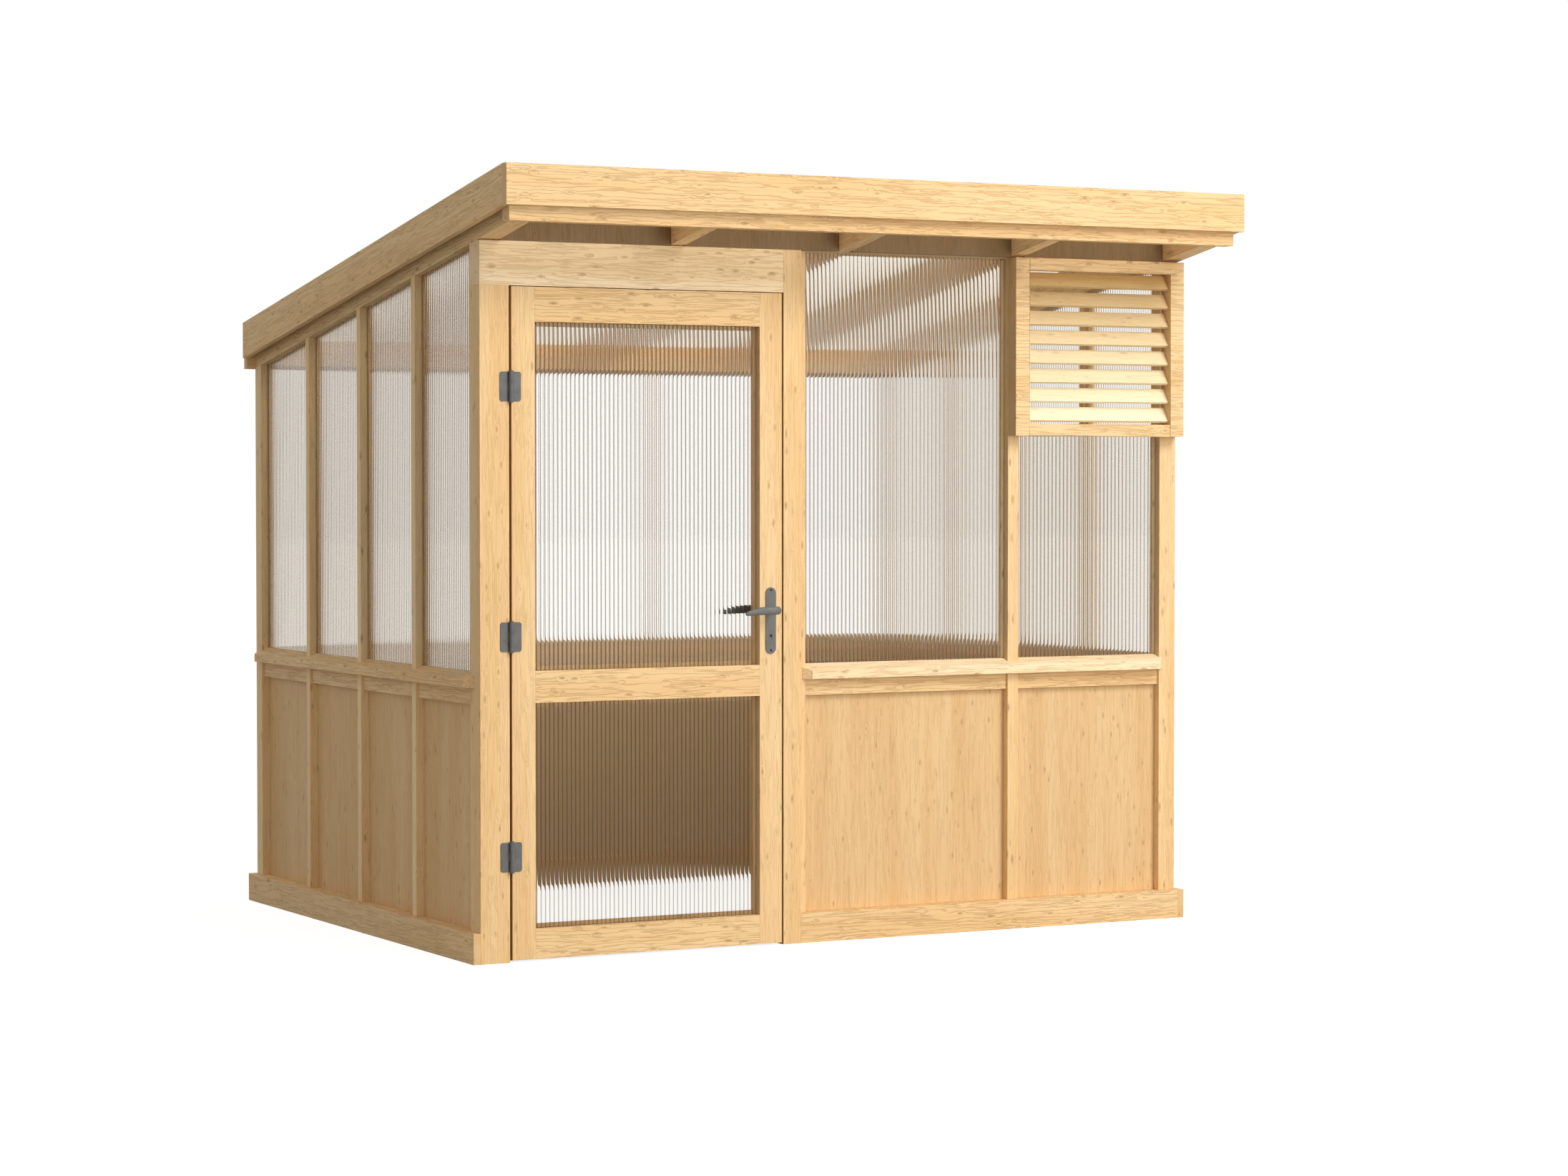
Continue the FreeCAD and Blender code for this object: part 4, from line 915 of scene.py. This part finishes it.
class GREENHOUSE_OT_lock_furniture(bpy.types.Operator):
    """Model the two levers and finish their plates, the lock and the keep"""

    bl_idname = "greenhouse.lock_furniture"
    bl_label = "Lever handles and lock"

    # Millimetres from the spindle, over the spindle, and half height and half thickness of the lever
    SECTIONS = (
        (7.0, -0.2, 5.0, 3.0),
        (5.0, 0.0, 9.0, 4.6),
        (0.0, 0.2, 11.6, 5.4),
        (-14.0, 0.2, 11.8, 5.5),
        (-34.0, 0.2, 11.7, 5.5),
        (-56.0, -0.8, 11.0, 5.4),
        (-78.0, -3.2, 9.4, 5.2),
        (-95.0, -6.2, 7.4, 4.8),
        (-103.0, -7.8, 5.6, 4.0),
        (-105.8, -8.4, 2.8, 2.2),
    )
    LEVER_HALF_THICKNESS = 5.5 * MM
    LEVER_SIDES = 20
    NECK_RADIUS = 9 * MM
    NECK_SIDES = 32
    NECK_RINGS = 8
    # Share of its radius that the neck loses in its middle
    NECK_WAIST = 0.22
    # Degrees that two faces of a lever may turn and still shade as one curve
    LEVER_CURVE = 45

    def execute(self, context):
        fittings = context.scene.greenhouse_fittings
        material = coated_zinc("Cast zinc, coated dull grey", fittings.handle_coat, 0.6 * MM)
        spindle_low, spindle_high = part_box("handle_spindle")
        axis = (spindle_low + spindle_high) / 2
        boxes = sorted(solid_boxes("lever_handles"), key=lambda box: box[0].y)
        outer = self.lever(axis, boxes[0][0].y, boxes[0][1].y, -1)
        inner = self.lever(axis, boxes[1][1].y, boxes[1][0].y, 1)
        levers = merge_pieces("lever_handles_cast", [outer, inner])
        smooth(levers, self.LEVER_CURVE)
        stand_for(levers, "lever_handles", material)
        low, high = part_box("handle_backplates")
        half = (high.x - low.x) / 2

        def is_plate_rim(edge):
            if len(edge.link_faces) != 2 or edge.calc_face_angle(0) < PLATE_RIM:
                return False
            middle = (edge.verts[0].co + edge.verts[1].co) / 2
            height = max(middle.z - (high.z - half), (low.z + half) - middle.z, 0.0)
            return math.hypot(middle.x - axis.x, height) > half - 0.5 * MM

        stand_for(
            eased_copy("handle_backplates", fittings.rounding, is_plate_rim), "handle_backplates", material,
        )
        paint(("handle_spindle", "lock_case", "latch_bolt", "dead_bolt", "strike_plate"), material)
        paint(("backplate_screws",), coated_zinc("Screw steel, blackened", fittings.screw_finish, 0.5 * MM))
        return {"FINISHED"}

    def lever(self, axis, far_y, neck_y, side):
        """One lever: a ring drawn out section by section, and a turned neck towards the door."""
        bar_y = far_y - side * self.LEVER_HALF_THICKNESS
        start_piece()
        bpy.ops.mesh.primitive_circle_add(
            vertices=self.LEVER_SIDES, radius=1, fill_type="NGON",
            location=(0, 0, 0), rotation=(0, math.pi / 2, 0),
        )
        bar = bpy.context.object
        settle(bar)
        bpy.ops.object.mode_set(mode="EDIT")
        bpy.ops.mesh.select_all(action="SELECT")
        first = self.SECTIONS[0]
        bpy.ops.transform.resize(value=(1, first[3] * MM, first[2] * MM), center_override=(0, 0, 0))
        bpy.ops.transform.translate(value=(first[0] * MM, 0, first[1] * MM))
        for last, section in zip(self.SECTIONS, self.SECTIONS[1:]):
            bpy.ops.mesh.extrude_region_move(
                TRANSFORM_OT_translate={
                    "value": ((section[0] - last[0]) * MM, 0, (section[1] - last[1]) * MM),
                },
            )
            bpy.ops.transform.resize(
                value=(1, section[3] / last[3], section[2] / last[2]),
                center_override=(section[0] * MM, 0, section[1] * MM),
            )
        bpy.ops.object.mode_set(mode="OBJECT")
        bar.location = (axis.x, bar_y, axis.z)
        settle(bar)
        neck = self.neck(axis, bar_y, neck_y)
        piece = merge_pieces("lever", [bar, neck])
        face_outwards(piece)
        return piece

    def neck(self, axis, bar_y, neck_y):
        """The round neck, waisted between the lever and the door."""
        length = abs(neck_y - bar_y)
        start_piece()
        bpy.ops.mesh.primitive_cylinder_add(
            vertices=self.NECK_SIDES, radius=self.NECK_RADIUS, depth=length,
            location=(axis.x, (bar_y + neck_y) / 2, axis.z), rotation=(math.pi / 2, 0, 0),
        )
        neck = bpy.context.object
        settle(neck)
        bpy.ops.object.mode_set(mode="EDIT")
        pick(neck, "edges", lambda edge: abs(edge.verts[0].co.y - edge.verts[1].co.y) > length / 2)
        bpy.ops.mesh.subdivide(number_cuts=self.NECK_RINGS - 1)
        for ring in range(1, self.NECK_RINGS):
            place = bar_y + (neck_y - bar_y) * ring / self.NECK_RINGS
            waist = 1 - self.NECK_WAIST * math.sin(math.pi * ring / self.NECK_RINGS)
            pick(neck, "verts", lambda vertex: abs(vertex.co.y - place) < length / self.NECK_RINGS / 4)
            bpy.ops.transform.resize(value=(waist, 1, waist), center_override=(axis.x, place, axis.z))
        bpy.ops.object.mode_set(mode="OBJECT")
        return neck


class GREENHOUSE_OT_stage(bpy.types.Operator):
    """Set up the floor, the lamps, the room light and the camera"""

    bl_idname = "greenhouse.stage"
    bl_label = "Stage"

    FLOOR_SIZE = 120
    # How brightly the floor glows where it is seen directly
    FLOOR_GLOW = 0.84
    # Place and diameter of each lamp, and where both point
    KEY_LAMP = ((3.8, -8.6, 8.0), 5.6)
    FILL_LAMP = ((2.6, -10.5, 2.4), 5.0)
    AIM = Vector((0, -0.75, 1.1))

    def execute(self, context):
        stage = context.scene.greenhouse_stage
        start_piece()
        bpy.ops.mesh.primitive_plane_add(size=self.FLOOR_SIZE, location=(0, 0, 0))
        floor = context.object
        floor.name = "floor"
        floor.data.materials.append(self.floor_paint())
        self.room(context.scene, stage)
        self.lamp("key_lamp", *self.KEY_LAMP, stage.key_power)
        self.lamp("fill_lamp", *self.FILL_LAMP, stage.fill_power)
        bpy.ops.object.camera_add(location=stage.camera_place)
        camera = context.object
        camera.name = "photo_camera"
        camera.rotation_euler = (math.pi / 2 - stage.camera_pitch, 0, -stage.camera_yaw)
        camera.data.sensor_width = 36
        camera.data.lens = stage.lens
        camera.data.clip_end = 200
        context.scene.camera = camera
        context.scene.view_settings.view_transform = "Standard"
        return {"FINISHED"}

    def lamp(self, name, place, size, power):
        """A round soft lamp that faces the middle of the front wall."""
        start_piece()
        bpy.ops.object.light_add(type="AREA", location=place)
        lamp = bpy.context.object
        lamp.name = name
        lamp.data.shape = "DISK"
        lamp.data.size = size
        lamp.data.energy = power
        lamp.rotation_euler = (self.AIM - lamp.location).to_track_quat("-Z", "Y").to_euler()

    def seen_directly(self, tree):
        """1 for a ray that the camera sends out, mirrored or through a sheet but off no matt surface."""
        path = add(tree, "ShaderNodeLightPath")
        seen = add(
            tree, "ShaderNodeMath", {0: path.outputs["Is Camera Ray"], 1: path.outputs["Is Glossy Ray"]},
            operation="MAXIMUM",
        )
        seen = add(
            tree, "ShaderNodeMath", {0: seen, 1: path.outputs["Is Transmission Ray"]}, operation="MAXIMUM",
        )
        first = add(
            tree, "ShaderNodeMath", {0: path.outputs["Diffuse Depth"]}, {1: 0.5}, operation="LESS_THAN",
        )
        return add(tree, "ShaderNodeMath", {0: seen, 1: first}, operation="MULTIPLY")

    def floor_paint(self):
        """Pale matt floor that shows white to the camera and keeps the object's shadow."""
        material, tree, output = new_material("Pale matt floor")
        source = add(tree, "ShaderNodeTexCoord")
        mottle = add(tree, "ShaderNodeTexNoise", {"Vector": source.outputs["Object"]}, {"Scale": 3.0})
        tone = add(
            tree, "ShaderNodeMix", {0: mottle.outputs["Fac"]}, {6: linear("#AEAEAB"), 7: linear("#B2B2AF")},
            data_type="RGBA",
        )
        matt = add(tree, "ShaderNodeBsdfDiffuse", {"Color": tone.outputs[2]})
        seen = self.seen_directly(tree)
        level = add(tree, "ShaderNodeMath", {0: seen}, {1: self.FLOOR_GLOW}, operation="MULTIPLY")
        glow = add(tree, "ShaderNodeEmission", {"Strength": level})
        both = add(tree, "ShaderNodeAddShader", {0: matt, 1: glow})
        tree.links.new(both.outputs[0], output.inputs["Surface"])
        return material

    def room(self, scene, stage):
        """Even light from all round, white where it is seen directly or through the sheets."""
        world = bpy.data.worlds.new("White room")
        scene.world = world
        world.use_nodes = True
        tree = world.node_tree
        tree.nodes.clear()
        seen = self.seen_directly(tree)
        level = add(tree, "ShaderNodeMapRange", {"Value": seen}, {"To Min": stage.room_light, "To Max": 1.0})
        light = add(tree, "ShaderNodeBackground", {"Strength": level}, {"Color": (1, 1, 1, 1)})
        output = add(tree, "ShaderNodeOutputWorld")
        tree.links.new(light.outputs[0], output.inputs["Surface"])


OPERATORS = (
    GREENHOUSE_OT_boards,
    GREENHOUSE_OT_wall_sheets,
    GREENHOUSE_OT_roof_sheets,
    GREENHOUSE_OT_hinges,
    GREENHOUSE_OT_lock_furniture,
    GREENHOUSE_OT_stage,
)


class GREENHOUSE_PT_sidebar(bpy.types.Panel):
    """Lists the steps that dress the greenhouse."""

    bl_label = "Greenhouse"
    bl_idname = "GREENHOUSE_PT_sidebar"
    bl_space_type = "VIEW_3D"
    bl_region_type = "UI"
    bl_category = "Greenhouse"

    def draw(self, context):
        for operator in OPERATORS:
            self.layout.operator(operator.bl_idname)


SETTINGS = {
    "greenhouse_timber": TimberSettings,
    "greenhouse_sheets": SheetSettings,
    "greenhouse_fittings": FittingSettings,
    "greenhouse_stage": StageSettings,
}


def register():
    """Register the settings, the operators and the panel."""
    for name, group in SETTINGS.items():
        bpy.utils.register_class(group)
        setattr(bpy.types.Scene, name, PointerProperty(type=group))
    for operator in OPERATORS:
        bpy.utils.register_class(operator)
    bpy.utils.register_class(GREENHOUSE_PT_sidebar)


def unregister():
    """Remove the panel, the operators and the settings."""
    bpy.utils.unregister_class(GREENHOUSE_PT_sidebar)
    for operator in reversed(OPERATORS):
        bpy.utils.unregister_class(operator)
    for name, group in SETTINGS.items():
        delattr(bpy.types.Scene, name)
        bpy.utils.unregister_class(group)


def main():
    """Dress the greenhouse."""
    register()
    bpy.ops.greenhouse.boards()
    bpy.ops.greenhouse.wall_sheets()
    bpy.ops.greenhouse.roof_sheets()
    bpy.ops.greenhouse.hinges()
    bpy.ops.greenhouse.lock_furniture()
    bpy.ops.greenhouse.stage()


if __name__ == "__main__":
    main()
